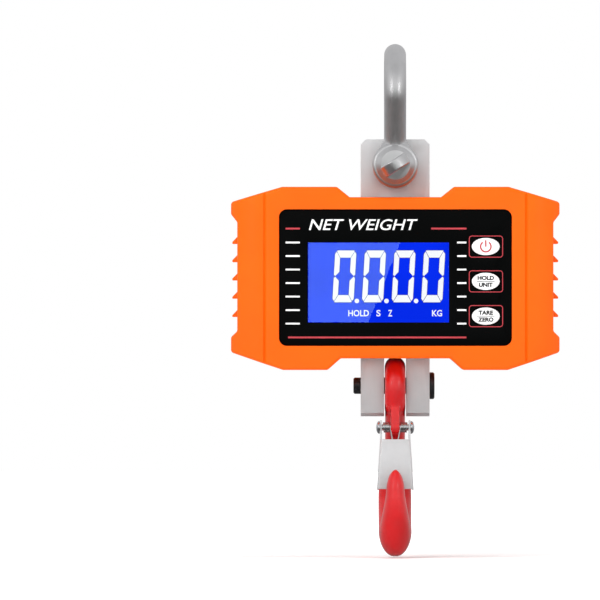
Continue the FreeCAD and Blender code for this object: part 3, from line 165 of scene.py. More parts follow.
def mixed(tree, factor, first, second):
    """Two colours mixed by a factor. Each colour is a value or another node's output."""
    made = add(tree, "ShaderNodeMix", {0: factor}, data_type="RGBA")
    for index, colour in ((6, first), (7, second)):
        if isinstance(colour, bpy.types.NodeSocket):
            tree.links.new(colour, made.inputs[index])
        else:
            made.inputs[index].default_value = colour
    return made.outputs[2]


def clouded(tree, factor, colour, share):
    """A colour that runs from a toned one up to its own as the factor rises."""
    return mixed(tree, between(tree, factor, 0, 1), toned(colour, share), colour)


def bump(tree, height, depth_mm, strength, normal=None):
    """A shading normal from a height, over another bump's normal where one is given."""
    made = add(tree, "ShaderNodeBump", {"Height": height}, Strength=strength, Distance=depth_mm * MM)
    if normal is not None:
        tree.links.new(normal, made.inputs["Normal"])
    return made.outputs["Normal"]


def abs_satin(name, colour):
    """ABS, injection moulded in a spark-eroded mould: a satin skin with a fine even grain and a
    slightly deeper colour where the melt flowed slowly."""
    made, tree, place = start_material(name)
    cloud = noise(tree, place, 38, 2)
    grain = noise(tree, place, 0.55, 2)
    return finish_material(made, tree, {
        "Base Color": clouded(tree, cloud, colour, 0.93),
        "Roughness": between(tree, noise(tree, place, 9, 3), 0.36, 0.44),
        "Normal": bump(tree, grain, 0.012, 0.55),
    }, IOR=1.53, Specular_IOR_Level=0.14)


def polished_stainless(name, colour):
    """Stainless steel, forged and then drum polished: bright and softly rippled, with hair scratches
    that spread each reflection a little."""
    made, tree, place = start_material(name)
    ripple = noise(tree, place, 7, 2)
    hair = noise(tree, stretched(tree, place, (1, 1, 0.08)), 0.5, 3)
    soft = bump(tree, ripple, 0.03, 0.2)
    return finish_material(made, tree, {
        "Roughness": between(tree, hair, 0.31, 0.38),
        "Normal": bump(tree, hair, 0.002, 0.06, soft),
        "Base Color": clouded(tree, ripple, colour, 0.94),
    }, Metallic=1.0)


def satin_nickel(name, colour):
    """Metal plate, ground along its length, blasted and matt nickel plated, or brushed: a pale sheen
    that scatters light almost as paint does, with fine straight lines."""
    made, tree, place = start_material(name)
    lines = noise(tree, stretched(tree, place, (1, 1, 0.02)), 0.35, 4, 0.6)
    cloud = noise(tree, place, 12, 3)
    return finish_material(made, tree, {
        "Base Color": clouded(tree, cloud, colour, 0.95),
        "Roughness": between(tree, lines, 0.48, 0.58),
        "Normal": bump(tree, lines, 0.01, 0.25),
    }, Metallic=0.7)


def red_enamel(name, colour):
    """Forged steel under a red baked enamel: deep colour under a glossy skin with orange peel, clouded
    a little darker here and there."""
    made, tree, place = start_material(name)
    peel = noise(tree, place, 4.5, 1)
    cloud = noise(tree, place, 15, 2)
    return finish_material(made, tree, {
        "Base Color": clouded(tree, cloud, colour, 0.86),
        "Roughness": between(tree, peel, 0.28, 0.34),
        "Normal": bump(tree, peel, 0.02, 0.03),
    }, IOR=1.5, Coat_Weight=0.3, Coat_Roughness=0.12)


def zinc_sheet(name, colour, roughness, metallic=1.0):
    """Steel, pressed or headed and then bright zinc plated: a cool silver with faint clouding."""
    made, tree, place = start_material(name)
    cloud = noise(tree, place, 3.5, 4)
    return finish_material(made, tree, {
        "Base Color": clouded(tree, cloud, colour, 0.96),
        "Roughness": between(tree, cloud, roughness - 0.02, roughness + 0.03),
        "Normal": bump(tree, noise(tree, place, 0.9, 3), 0.006, 0.3),
    }, Metallic=metallic)


def black_oxide(name, colour):
    """Steel bolt, blackened in a hot oxide bath and oiled: nearly black with a broad oily sheen."""
    made, tree, place = start_material(name)
    cloud = noise(tree, place, 2.2, 4)
    return finish_material(made, tree, {
        "Base Color": mixed(tree, between(tree, cloud, 0, 1), colour, toned(colour, 2.2)),
        "Roughness": between(tree, cloud, 0.34, 0.48),
        "Normal": bump(tree, noise(tree, place, 0.6, 3), 0.01, 0.4),
    }, Metallic=0.55)


def moulded(name, colour, roughness, grain_mm, depth_mm, ior=1.5, gloss=0.5):
    """A moulded or printed plastic or rubber: even colour with a little clouding, and a grain whose
    size sets how matt it looks."""
    made, tree, place = start_material(name)
    grain = noise(tree, place, grain_mm, 3)
    return finish_material(made, tree, {
        "Base Color": clouded(tree, noise(tree, place, 20, 2), colour, 0.9),
        "Roughness": between(tree, grain, roughness - 0.05, roughness + 0.06),
        "Normal": bump(tree, grain, depth_mm, 0.5),
    }, IOR=ior, Specular_IOR_Level=gloss)


def acrylic_window(name, colour):
    """Cast acrylic sheet, polished: clear, with a sharp reflection and faint cleaning marks."""
    made, tree, place = start_material(name)
    marks = noise(tree, place, 14, 4)
    return finish_material(made, tree, {
        "Roughness": between(tree, marks, 0.0, 0.002),
    }, Base_Color=colour, IOR=1.49, Transmission_Weight=1.0)


def lit_lcd(name, colour, edge):
    """Negative liquid crystal glass over a blue light guide, under a polariser: an even glow whose
    depth drifts a little across the glass."""
    made, tree, place = start_material(name)
    glow = noise(tree, place, 60, 1)
    shade_of = mixed(tree, between(tree, glow, 0, 1), linear(edge), colour)
    return finish_material(made, tree, {"Emission Color": shade_of},
                           Base_Color=linear("#02061C"), Roughness=0.25, Emission_Strength=1.0)


def lit_segment(name, colour):
    """Clear liquid crystal segments that let the light guide shine through."""
    made, tree, place = start_material(name)
    return finish_material(made, tree, {
        "Emission Color": clouded(tree, noise(tree, place, 25, 1), colour, 0.95),
    }, Base_Color=linear("#404040"), Roughness=0.4, Emission_Strength=1.0)


def pale_floor(name, colour):
    """Matt white paper with a painted glow, faint near the object and strong far away from it."""
    made, tree, place = start_material(name)
    shade_of = mixed(tree, between(tree, noise(tree, place, 400, 2), 0, 1), colour, linear("#FFFFFF"))
    away = add(tree, "ShaderNodeVectorMath", {0: place}, operation="LENGTH").outputs["Value"]
    return finish_material(made, tree, {
        "Base Color": shade_of,
        "Emission Color": shade_of,
        # painted glow: the floor's emission rises with distance from the object
        "Emission Strength": between(tree, away, 0.12, 0.9, 0.35, 1.1),
    }, Roughness=0.9)


# Each finish: its maker, its colour as a code or a colour property's name, and the maker's values.
FINISHES = {
    "satin_orange_abs": (abs_satin, "housing"),
    "polished_stainless": (polished_stainless, "#D6D6D7"),
    "satin_nickel_plate": (satin_nickel, "#DADADB"),
    "brushed_aluminium": (satin_nickel, "#D6D7DA"),
    "red_baked_enamel": (red_enamel, "hook"),
    "zinc_pressing": (zinc_sheet, "#CDCECF", 0.46, 0.5),
    "zinc_screw": (zinc_sheet, "#D2D4D8", 0.24),
    "bright_spring_wire": (zinc_sheet, "#C9CBCC", 0.2),
    "constantan_foil": (zinc_sheet, "#C98A4B", 0.3),
    "black_oxide_bolt": (black_oxide, "#1B1B1D"),
    "matt_black_film": (moulded, "#040505", 0.5, 0.5, 0.004, 1.5, 0.04),
    "black_nylon": (moulded, "#141414", 0.5, 0.8, 0.01),
    "black_nitrile": (moulded, "#121212", 0.72, 0.7, 0.02),
    "white_polycarbonate": (moulded, "keys", 0.34, 0.7, 0.004, 1.58),
    "white_ink": (moulded, "#F4F4F4", 0.5, 0.4, 0.002),
    "red_ink": (moulded, "#B8323C", 0.5, 0.4, 0.002),
    "black_ink": (moulded, "#141416", 0.5, 0.4, 0.002),
    "milky_acrylic": (moulded, "#E9EDF5", 0.3, 2.0, 0.003),
    "green_solder_mask": (moulded, "#0E6B3A", 0.3, 1.2, 0.01),
    "black_epoxy": (moulded, "#1A1A1B", 0.55, 0.4, 0.008),
    "natural_nylon": (moulded, "#E2DCC6", 0.45, 1.0, 0.01),
    "white_silicone": (moulded, "#DADAD8", 0.4, 3.0, 0.05),
    "cell_sleeve": (moulded, "#1F4E8C", 0.28, 2.0, 0.004),
    "grey_pvc": (moulded, "#6E6E70", 0.45, 1.0, 0.01),
    "dark_flock": (moulded, "#060606", 0.9, 5.0, 0.01, 1.5, 0.0),
    "lit_blue_lcd": (lit_lcd, "display", "#062BE8"),
    "lit_white_segment": (lit_segment, "#F4F7FF"),
    "dark_lcd_rim": (lit_segment, "#0E1A66"),
    "clear_acrylic": (acrylic_window, "#FFFFFF"),
    "pale_floor": (pale_floor, "#F7F7F7"),
}
MATERIALS = {}


def material(name):
    """The named finish, made the first time that it is asked for."""
    if name not in MATERIALS:
        maker, colour, *values = FINISHES[name]
        if colour.startswith("#"):
            shade_of = linear(colour)
        else:
            shade_of = tuple(getattr(bpy.context.scene.crane_colours, colour))
        MATERIALS[name] = maker(name, shade_of, *values)
    return MATERIALS[name]


# ---- surfaces --------------------------------------------------------------------------------

def grid(points):
    """Quads over rows of closed rings, with each end closed by a fan to its ring's middle."""
    rows, columns = points.shape[:2]
    index = np.arange(rows * columns).reshape(rows, columns)
    right = np.roll(index, -1, axis=1)
    quads = np.stack([index[:-1], right[:-1], right[1:], index[1:]], axis=-1).reshape(-1, 4)
    first, last = np.full(columns, rows * columns), np.full(columns, rows * columns + 1)
    faces = (quads.tolist() + np.stack([right[0], index[0], first], axis=-1).tolist()
             + np.stack([index[-1], right[-1], last], axis=-1).tolist())
    return np.vstack([points.reshape(-1, 3), points[0].mean(axis=0), points[-1].mean(axis=0)]), faces


def ring_grid(points):
    """Quads over rows of closed rings whose last row joins the first, as on a tube bent into a ring."""
    rows, columns = points.shape[:2]
    index = np.arange(rows * columns).reshape(rows, columns)
    right, below = np.roll(index, -1, axis=1), np.roll(index, -1, axis=0)
    quads = np.stack([index, right, np.roll(right, -1, axis=0), below], axis=-1).reshape(-1, 4)
    return points.reshape(-1, 3), quads.tolist()


def full_turn(count):
    """Evenly spaced angles round a circle."""
    return np.linspace(0, 2 * np.pi, count, endpoint=False)


def oval(middle, across, up, turn):
    """Points at some angles round an oval, from its middle and two half sizes."""
    return np.column_stack([middle[0] + across * np.cos(turn), middle[1] + up * np.sin(turn)])


def at_depth(outline, y):
    """A flat outline of (x, z) points as points in space."""
    return np.column_stack([outline[:, 0], np.full(len(outline), y), outline[:, 1]])


def direction(path):
    """A path's unit direction at each of its points."""
    heading = np.gradient(path, axis=0)
    return heading / np.linalg.norm(heading, axis=1, keepdims=True)


def slab(outline, low, high):
    """A flat outline of (x, z) points given a thickness along Y."""
    count = len(outline)
    index = np.arange(count)
    after = np.roll(index, -1)
    sides = np.stack([index, after, after + count, index + count], axis=-1).tolist()
    points = np.vstack([at_depth(outline, low), at_depth(outline, high)])
    return points, sides + [index[::-1].tolist(), (index + count).tolist()]


def axes_at(heading):
    """Two unit vectors across a path that lies in the YZ plane: out of the plane, and in it."""
    across = np.broadcast_to([1.0, 0.0, 0.0], heading.shape)
    inward = np.cross(heading, across)
    return across, inward / np.linalg.norm(inward, axis=-1, keepdims=True)


def carried(path, heading, half_across, half_inward, sides):
    """An oval carried along a path: each ring is the path point plus the cosine and sine of the angle
    times the oval's two half sizes."""
    angle = full_turn(sides)
    across, inward = axes_at(heading)
    return (path[:, None] + across[:, None] * (half_across[:, None] * np.cos(angle))[..., None]
            + inward[:, None] * (half_inward[:, None] * np.sin(angle))[..., None])


def lathe(profile, origin, axis, sides):
    """A profile of (distance along the axis, radius) turned about an axis, as rows of rings."""
    profile = np.asarray(profile, float)
    axis = np.asarray(axis, float)
    first = np.cross(axis, [0.0, 0.0, 1.0] if abs(axis[2]) < 0.9 else [1.0, 0.0, 0.0])
    first /= np.linalg.norm(first)
    second = np.cross(axis, first)
    angle = full_turn(sides)
    spoke = np.cos(angle)[:, None] * first + np.sin(angle)[:, None] * second
    return (np.asarray(origin) + profile[:, 0, None, None] * axis
            + profile[:, 1, None, None] * spoke[None])


def eased(points, radii, steps):
    """An open polyline with each inner corner replaced by a quadratic curve that starts and ends its
    radius away along the two sides."""
    points = np.asarray(points, float)
    rows = [points[:1]]
    share = np.linspace(0, 1, steps)[:, None]
    for before, here, after, radius in zip(points[:-2], points[1:-1], points[2:], radii):
        sides = [(other - here) / max(np.linalg.norm(other - here), 1e-9) for other in (before, after)]
        reach = [min(radius, np.linalg.norm(other - here) / 2) for other in (before, after)]
        start, end = here + sides[0] * reach[0], here + sides[1] * reach[1]
        rows.append((1 - share) ** 2 * start + 2 * share * (1 - share) * here + share ** 2 * end)
    rows.append(points[-1:])
    return np.vstack(rows)


def rounded_box_outline(middle, width, height, radius, steps=8):
    """A rectangle of (x, z) points with quarter-circle corners."""
    turn = np.linspace(0, np.pi / 2, steps)
    corner = np.stack([np.cos(turn), np.sin(turn)], axis=-1) * radius
    inner = np.array([width / 2 - radius, height / 2 - radius])
    quarters = []
    for quarter in range(4):
        c, s = round(math.cos(quarter * math.pi / 2)), round(math.sin(quarter * math.pi / 2))
        turned = corner @ np.array([[c, s], [-s, c]])
        sign = np.array([1 if quarter in (0, 3) else -1, 1 if quarter in (0, 1) else -1])
        quarters.append(turned + inner * sign)
    return np.vstack(quarters) + np.asarray(middle)


def frame_outline(middle, width, height, radius, stroke, low, high):
    """A thin closed frame: two rounded rectangles, a stroke apart, joined by flat faces."""
    outer = rounded_box_outline(middle, width, height, radius)
    inner = rounded_box_outline(middle, width - 2 * stroke, height - 2 * stroke, radius - stroke)
    corners = ((outer, low), (outer, high), (inner, high), (inner, low))
    return ring_grid(np.stack([at_depth(outline, y) for outline, y in corners]))


def join(surfaces):
    """One list of vertices and faces from several."""
    vertices, faces, offset = [], [], 0
    for points, quads in surfaces:
        vertices.append(points)
        faces += [[i + offset for i in face] for face in quads]
        offset += len(points)
    return np.vstack(vertices), faces


def placed(name, data):
    """An object for some data, in the scene."""
    made = bpy.data.objects.new(name, data)
    bpy.context.scene.collection.objects.link(made)
    return made


@contextmanager
def editing(mesh):
    """A mesh opened for bmesh work, and written back at the end."""
    shape = bmesh.new()
    shape.from_mesh(mesh)
    yield shape
    shape.to_mesh(mesh)
    shape.free()


def new_object(name, vertices_mm, faces):
    """An object at the origin whose mesh is in metres, with its faces turned outwards."""
    mesh = bpy.data.meshes.new(name)
    mesh.from_pydata((np.asarray(vertices_mm) * MM).tolist(), [], faces)
    with editing(mesh) as shape:
        bmesh.ops.recalc_face_normals(shape, faces=shape.faces)
    return placed(name, mesh)


def shade(made, degrees):
    """Smooth shading, broken at edges sharper than an angle."""
    limit = math.radians(degrees)
    with editing(made.data) as shape:
        for face in shape.faces:
            face.smooth = True
        for edge in shape.edges:
            edge.smooth = len(edge.link_faces) == 2 and edge.calc_face_angle(0) < limit
    return made


def settle(made):
    """Puts an object's modifiers into its mesh."""
    graph = bpy.context.evaluated_depsgraph_get()
    mesh = bpy.data.meshes.new_from_object(made.evaluated_get(graph))
    made.modifiers.clear()
    made.data = mesh
    return made


def finish(made, finish_name, body, slot, *replaced):
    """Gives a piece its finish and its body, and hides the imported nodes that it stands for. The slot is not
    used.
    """
    made.data.materials.clear()
    made.data.materials.append(material(finish_name))
    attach(made, body)
    if replaced:
        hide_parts(*replaced)
    return made


def break_edges(made, width_mm, segments, degrees):
    """Rounds each edge sharper than an angle, as wide as the shortest edges beside it leave room for."""
    bevel = made.modifiers.new("edges", "BEVEL")
    bevel.width = width_mm * MM
    bevel.segments = segments
    bevel.limit_method = "ANGLE"
    bevel.angle_limit = math.radians(degrees)
    return shade(settle(made), 40)


def merged_copy(node, name):
    """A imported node's shape with its seams merged and its flat triangles joined."""
    mesh = NODES[node].data.copy()
    seam, flat = 1e-6, math.radians(0.5)
    with editing(mesh) as shape:
        bmesh.ops.remove_doubles(shape, verts=shape.verts, dist=seam)
        bmesh.ops.dissolve_limit(shape, angle_limit=flat, verts=shape.verts, edges=shape.edges)
    if "custom_normal" in mesh.attributes:
        mesh.attributes.remove(mesh.attributes["custom_normal"])
    return placed(name, mesh)


def finished_copy(node, suffix, finish_name, body, slot, width_mm, segments=3, degrees=30):
    """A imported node's shape with its edges broken, finished and standing for the node."""
    made = break_edges(merged_copy(node, node + suffix), width_mm, segments, degrees)
    return finish(made, finish_name, body, slot, node)


def blended(name, surfaces, voxel_mm, passes):
    """Closed surfaces joined into one skin, with the corner where they meet smoothed as on a forging."""
    made = new_object(name, *join(surfaces))
    remesh = made.modifiers.new("skin", "REMESH")
    remesh.mode = "VOXEL"
    remesh.voxel_size = voxel_mm * MM
    remesh.use_smooth_shade = True
    relax = made.modifiers.new("relax", "SMOOTH")
    relax.factor = 0.5
    relax.iterations = passes
    return settle(made)


def lettering(text, height_mm, width_mm, middle, y, thickness_mm, bold=0.02, slant=0.0):
    """Plain built-in letters as a mesh facing -Y: height, width, middle (x, z) and front face given."""
    curve = bpy.data.curves.new("letters", "FONT")
    curve.body = text
    curve.align_x = "CENTER"
    curve.shear = slant
    curve.offset = bold
    curve.extrude = 0.5
    curve.resolution_u = 4
    holder = placed("letters", curve)
    mesh = bpy.data.meshes.new_from_object(holder)
    flat = np.zeros(len(mesh.vertices) * 3)
    mesh.vertices.foreach_get("co", flat)
    flat = flat.reshape(-1, 3)
    faces = [list(polygon.vertices) for polygon in mesh.polygons]
    bpy.data.objects.remove(holder)
    bpy.data.curves.remove(curve)
    bpy.data.meshes.remove(mesh)
    low, high = flat.min(axis=0), flat.max(axis=0)
    centre = (low + high) / 2
    x = middle[0] + (flat[:, 0] - centre[0]) * width_mm / (high[0] - low[0])
    z = middle[1] + (flat[:, 1] - centre[1]) * height_mm / (high[1] - low[1])
    depth = y + np.where(flat[:, 2] > 0, 0.0, thickness_mm)
    return np.column_stack([x, depth, z]), faces


# ---- properties ------------------------------------------------------------------------------

def colour_property(name, pieces, code):
    return FloatVectorProperty(name=name, description="Colour of " + pieces, subtype="COLOR", size=4,
                               min=0, max=1, default=linear(code))


class CraneColours(bpy.types.PropertyGroup):
    housing: colour_property("Housing", "the moulded shells", "#F45F03")
    hook: colour_property("Hook", "the hook's enamel", "#C8080F")
    display: colour_property("Display", "the lit display", "#0A32FF")
    keys: colour_property("Keys", "the key caps", "#FCFCFC")


class CraneSizes(bpy.types.PropertyGroup):
    edge: FloatProperty(name="Edge break", description="Rounding of machined and pressed edges",
                        default=0.3 * MM, min=0.05 * MM, max=1 * MM, unit="LENGTH")
    print_thickness: FloatProperty(name="Print thickness", description="How far printed marks stand up",
                                   default=0.05 * MM, min=0.01 * MM, max=0.2 * MM, unit="LENGTH")
    skin: FloatProperty(name="Forging skin", description="Fineness of the blended forging surfaces",
                        default=0.55 * MM, min=0.3 * MM, max=2 * MM, unit="LENGTH")
    reading: StringProperty(name="Reading", description="Digits shown, with points between them",
                            default="0.0.0.0")


# ---- shackle ---------------------------------------------------------------------------------

class CRANE_OT_shackle(bpy.types.Operator):
    """Shackle bow: a round rod carried along two legs and an arc, widening as a bell curve into two
    turned eyes"""
    bl_idname = "crane.shackle"
    bl_label = "Shackle bow"

    def execute(self, context):
        low, high = box_mm("shackle_bow")
        rod = high[2] / 2
        pin_z = joint_mm("shackle_swing")[2]
        eye_r, eye_y, foot_y = pin_z - low[2], 17.0, 13.9
        half, hole_r = 6.5, 8.08
        bow = high[1] - rod
        sunk, flare = 2.5, 2.6
        path, heading, down = bow_path(bow, rod, foot_y, pin_z, eye_r - sunk)
        wide = rod + flare * np.exp(-(down / flare) ** 2)
        surfaces = [grid(carried(path, heading, wide, np.full(len(down), rod), 64))]
        for side in (-1, 1):
            profile = [(-half, hole_r), (-half, eye_r), (half, eye_r), (half, hole_r), (-half, hole_r)]
            outline = eased(profile, (2.4, 2.4, 0.6), 7)[1:]
            rings = lathe(outline, (0, side * eye_y, pin_z), (0, 1, 0), 128)
            surfaces.append(ring_grid(rings))
        made = shade(new_object("shackle_bow_forging", *join(surfaces)), 40)
        finish(made, "polished_stainless", "shackle", "forged_steel", "shackle_bow")
        return {"FINISHED"}


def bow_path(bow, rod, foot_y, pin_z, stop):
    """Points up one leg, over the crown and down the other, with their direction and their distance
    from the nearer foot. The legs are straight and meet the arc at a tangent."""
    middle = np.array([0.0, -(bow - rod)])
    foot = np.array([foot_y, pin_z])
    reach = np.linalg.norm(foot - middle)
    lean = math.acos(bow / reach) - math.atan2(middle[1] - foot[1], foot[0])
    touch = middle + bow * np.array([math.cos(lean), math.sin(lean)])
    leg = touch - foot
    share = np.linspace(0, 1, 60)[:, None] ** 1.4
    start = foot + leg / np.linalg.norm(leg) * stop
    up = start + (touch - start) * share
    turn = np.linspace(lean, math.pi - lean, 120)[1:-1, None]
    over = middle + bow * np.hstack([np.cos(turn), np.sin(turn)])
    down = (up * [-1, 1])[::-1]
    flat = np.vstack([up, over, down])
    path = np.column_stack([np.zeros(len(flat)), flat])
    steps = np.linalg.norm(np.diff(path, axis=0), axis=1)
    walked = np.concatenate([[0], np.cumsum(steps)])
    return path, direction(path), np.minimum(walked, walked[-1] - walked)


class CRANE_OT_shackle_pin(bpy.types.Operator):
    """Screw pin: its shank, collar and tab as packed, with their edges broken"""
    bl_idname = "crane.shackle_pin"
    bl_label = "Shackle pin"

    def execute(self, context):
        finished_copy("shackle_pin", "_turned", "polished_stainless", "shackle_pin", "forged_steel",
                      0.35, 3, 35)
        return {"FINISHED"}


# ---- load cell and bolt ----------------------------------------------------------------------

class CRANE_OT_load_cell(bpy.types.Operator):
    """Load cell plate with its edges broken, and the black bolt through its fork"""
    bl_idname = "crane.load_cell"
    bl_label = "Load cell and bolt"

    def execute(self, context):
        width = context.scene.crane_sizes.edge / MM
        plate_share = 1.2
        finished_copy("load_cell", "_plate", "satin_nickel_plate", "scale_body", "cell_alloy",
                      width * plate_share)
        fork_bolt = break_edges(merged_copy("clevis_bolt", "fork_bolt"), width, 3, 30)
        finish(fork_bolt, "black_oxide_bolt", "scale_body", "black_oxide", "clevis_bolt")
        return {"FINISHED"}


# ---- hook and latch --------------------------------------------------------------------------

def smooth_step(low, high, x):
    share = np.clip((x - low) / (high - low), 0, 1)
    return share * share * (3 - 2 * share)


def hook_rings(bolt, bowl, bowl_r, tip_top):
    """Sections down the neck, round the bowl and up the tip.

    The middle line leaves the eye, eases back to the bowl's rear, follows the bowl's circle a half
    thickness outside it, and rises to the tip, where the half sizes shrink as the root of one less a
    power of the height. Across a section, the half width rises as a power of a sine of the depth to
    its widest point, and closes as a quarter of an ellipse: the neck's is an even oval, the bowl's
    is narrow outside and widest three quarters of the way in."""
    slim, full, tip = 6.4, 10.6, 6.3
    rear, bulge, taper = 10.3, 0.8, 4.8
    neck = np.linspace(0, 0.93, 60)
    top = np.array([1.2, bolt[2] - 16.0])
    start = np.array([bowl[1] + bowl_r + rear, bowl[2] + 2.0])
    neck_z = top[1] + neck * (start[1] - top[1])
    neck_y = top[0] + (start[0] - top[0]) * smooth_step(0, 1.15, neck)
    turn = np.linspace(0, 180, 150)
    angle = np.radians(turn)
    bowl_half = rear + bulge * smooth_step(0, 90, turn) - taper * smooth_step(90, 180, turn)
    bowl_y = bowl[1] + (bowl_r + bowl_half) * np.cos(angle)
    bowl_z = bowl[2] - (bowl_r + bowl_half) * np.sin(angle)
    bowl_wide = np.where(turn > 90, slim + (full - slim) * np.sin(angle) ** 1.15, full)
    rise = np.linspace(0, 1, 60)[1:]
    thin = np.maximum(np.sqrt(1 - rise ** 3) * (1 - 0.12 * np.sqrt(rise)), 0.03)
    height = tip_top - bowl[2]
    tip_y = bowl[1] - bowl_r - tip + 0.12 * height * rise * (1 - thin)
    tip_z = bowl[2] + height * rise
    centre = np.column_stack([np.concatenate([neck_y, bowl_y, tip_y]),
                              np.concatenate([neck_z, bowl_z, tip_z])])
    half = np.concatenate([10.0 + 0.3 * neck, bowl_half, tip * thin])[:, None]
    swell = slim + (full - slim) * smooth_step(0.45, 1, neck)
    wide = np.concatenate([swell, bowl_wide, slim * thin])[:, None]
    blunt = np.concatenate([0 * neck, smooth_step(10, 60, turn), 0 * rise + 1])[:, None]
    path = np.column_stack([np.zeros(len(centre)), centre])
    across, inward = axes_at(direction(path))
    t = full_turn(96)
    depth = (1 - np.cos(t))[None] / 2
    widest = 0.5 + 0.25 * blunt
    opening = np.sin(np.pi / 2 * np.minimum(depth / widest, 1)) ** (0.86 - 0.44 * blunt)
    closing = np.sqrt(1 - np.clip((depth - widest) / (1 - widest), 0, 1) ** 2)
    spread = wide * np.sign(np.sin(t)) * opening * closing
    return (path[:, None] + across[:, None] * spread[..., None]
            - inward[:, None] * (half * np.cos(t))[..., None])


class CRANE_OT_hook(bpy.types.Operator):
    """Eye hook: swept neck, bowl and tip, blended with the round eye and the rivet's rib"""
    bl_idname = "crane.hook"
    bl_label = "Hook"

    def execute(self, context):
        top = box_mm("hook")[1][2]
        bolt, pivot = joint_mm("hook_swing"), joint_mm("latch_open")
        bowl_r = MOUNTS["hook_bowl"]["dims"]["r_mm"]
        bowl = mount_mm("hook_bowl") + [0, 0, bowl_r]
        wire, ring_r, clear = 6.65, 13.1, 0.05
        ring_z = top - wire - ring_r - clear
        turn = full_turn(120)
        none, thick = np.zeros(len(turn)), np.full(len(turn), wire)
        circle = np.column_stack([none, np.sin(turn) * ring_r, ring_z + np.cos(turn) * ring_r])
        heading = np.column_stack([none, np.cos(turn), -np.sin(turn)])
        tip_below_bolt, rib_half, passes = 53.6, 2.8, 14
        rib = rib_outline(bolt, pivot)
        sides = [np.column_stack([np.full(len(rib), x), rib]) for x in (-rib_half, rib_half)]
        surfaces = [ring_grid(carried(circle, heading, thick, thick, 40)),
                    grid(hook_rings(bolt, bowl, bowl_r, bolt[2] - tip_below_bolt)),
                    grid(np.stack(sides))]
        made = blended("hook_forging", surfaces, context.scene.crane_sizes.skin / MM, passes)
        finish(made, "red_baked_enamel", "hook", "red_enamel", "hook")
        return {"FINISHED"}


def rib_outline(bolt, pivot):
    """The rib's side view, (y, z): from the eye's lower front round the rivet and back to the neck."""
    boss_r = 4.4
    turn = np.radians(np.linspace(150, 300, 16))
    boss = oval(pivot[1:], boss_r, boss_r, turn)
    upper = np.array([[0.0, bolt[2] - 14], [-16.0, bolt[2] - 8]])
    lower = np.array([[pivot[1] + 5, pivot[2] - 7.0], [0.0, bolt[2] - 30.6]])
    return np.vstack([upper, boss, lower])


class CRANE_OT_latch(bpy.types.Operator):
    """Latch: the pressed channel, its rivet with domed heads, and the double torsion spring"""
    bl_idname = "crane.latch"
    bl_label = "Latch"

    def execute(self, context):
        channel = self.make_channel()
        finish(channel, "zinc_pressing", "latch", "latch_zinc", "latch_plate")
        self.make_rivet()
        self.make_spring()
        return {"FINISHED"}

    def make_channel(self):
        """The channel with its two long bends rounded, then every other edge broken."""
        channel = merged_copy("latch_plate", "latch_channel")
        bend_r = 1.7 * MM
        low, high = box_mm("latch_plate")
        with editing(channel.data) as shape:
            bends = [edge for edge in shape.edges if self.is_bend(edge, (high[0] - low[0]) / 2 * MM)]
            bmesh.ops.bevel(shape, geom=bends, offset=bend_r, segments=6, profile=0.5, affect="EDGES")
        return break_edges(channel, 0.2, 2, 35)

    def is_bend(self, edge, half_width):
        """True for the long outer edges where the cheeks turn into the web."""
        shortest, margin = 20 * MM, 2.4 * MM
        if len(edge.link_faces) != 2 or edge.calc_length() < shortest:
            return False
        fronts = [face for face in edge.link_faces if face.normal.y < -0.9]
        middle = (edge.verts[0].co + edge.verts[1].co) / 2
        outside = abs(middle.x) > half_width - margin
        return len(fronts) == 1 and outside and edge.calc_face_angle(0) > 1.0 and edge.is_convex

    def make_rivet(self):
        """A shank with a quarter of an ellipse at each end, turned about the pivot."""
        low, high = box_mm("latch_rivet")
        pivot = joint_mm("latch_open")
        seat, rim, shank, pole = 9.85, 0.5, 2.0, 0.02
        radius, crown = (high[2] - low[2]) / 2, high[0] - seat - rim
        turn = np.linspace(0, np.pi / 2, 14)
        dome = np.column_stack([seat + rim + crown * np.sin(turn), radius * np.cos(turn)])
        dome[-1, 1] = pole
        half = np.vstack([[[0.0, shank], [seat, shank], [seat, radius]], dome])
        profile = np.vstack([(half * [-1, 1])[::-1], half[1:]])
        made = new_object("latch_rivet_domed", *grid(lathe(profile, pivot, (1, 0, 0), 64)))
        finish(shade(made, 50), "zinc_screw", "hook", "latch_zinc", "latch_rivet")

    def make_spring(self):
        """Two coils, each a helix about the pivot that ends in a straight leg down to the web."""
        pivot = joint_mm("latch_open")
        wire, coil, turns = 0.45, 2.95, 5.0
        first, last = 3.3, box_mm("latch_spring")[1][0] - wire
        foot_x, foot_z = 0.9, -13.5
        surfaces = []
        for side in (-1, 1):
            angle = np.linspace(-math.pi / 2, turns * 2 * math.pi - math.pi / 2, 260)
            share = (angle - angle[0]) / (angle[-1] - angle[0])
            x = side * (last + (first - last) * share)
            helix = np.column_stack([x, coil * np.sin(angle), coil * np.cos(angle)])
            leg = np.linspace(0, 1, 30)[1:, None]
            end = np.array([side * foot_x, -coil - 0.3, foot_z])
            route = np.vstack([helix, helix[-1] * (1 - leg) + end * leg])
            surfaces.append(grid(tube(route + pivot, wire, 10)))
        made = shade(new_object("latch_spring_wire", *join(surfaces)), 60)
        finish(made, "bright_spring_wire", "latch", "spring_steel", "latch_spring")


def tube(route, radius, sides):
    """A circle carried along a route: each ring lies across the route's direction there."""
    heading = direction(route)
    helper = np.where(np.abs(heading[:, :1]) > 0.9, [0.0, 0.0, 1.0], [1.0, 0.0, 0.0])
    first = np.cross(heading, helper)
    first /= np.linalg.norm(first, axis=1, keepdims=True)
    second = np.cross(heading, first)
    angle = full_turn(sides)
    return (route[:, None] + radius * (np.cos(angle)[:, None] * first[:, None]
                                       + np.sin(angle)[:, None] * second[:, None]))


# ---- housing, panel and display --------------------------------------------------------------

KEYS = ("power", "hold", "tare")
PRINT_SUNK = 0.02  # how far a printed mark reaches into the panel, in millimetres

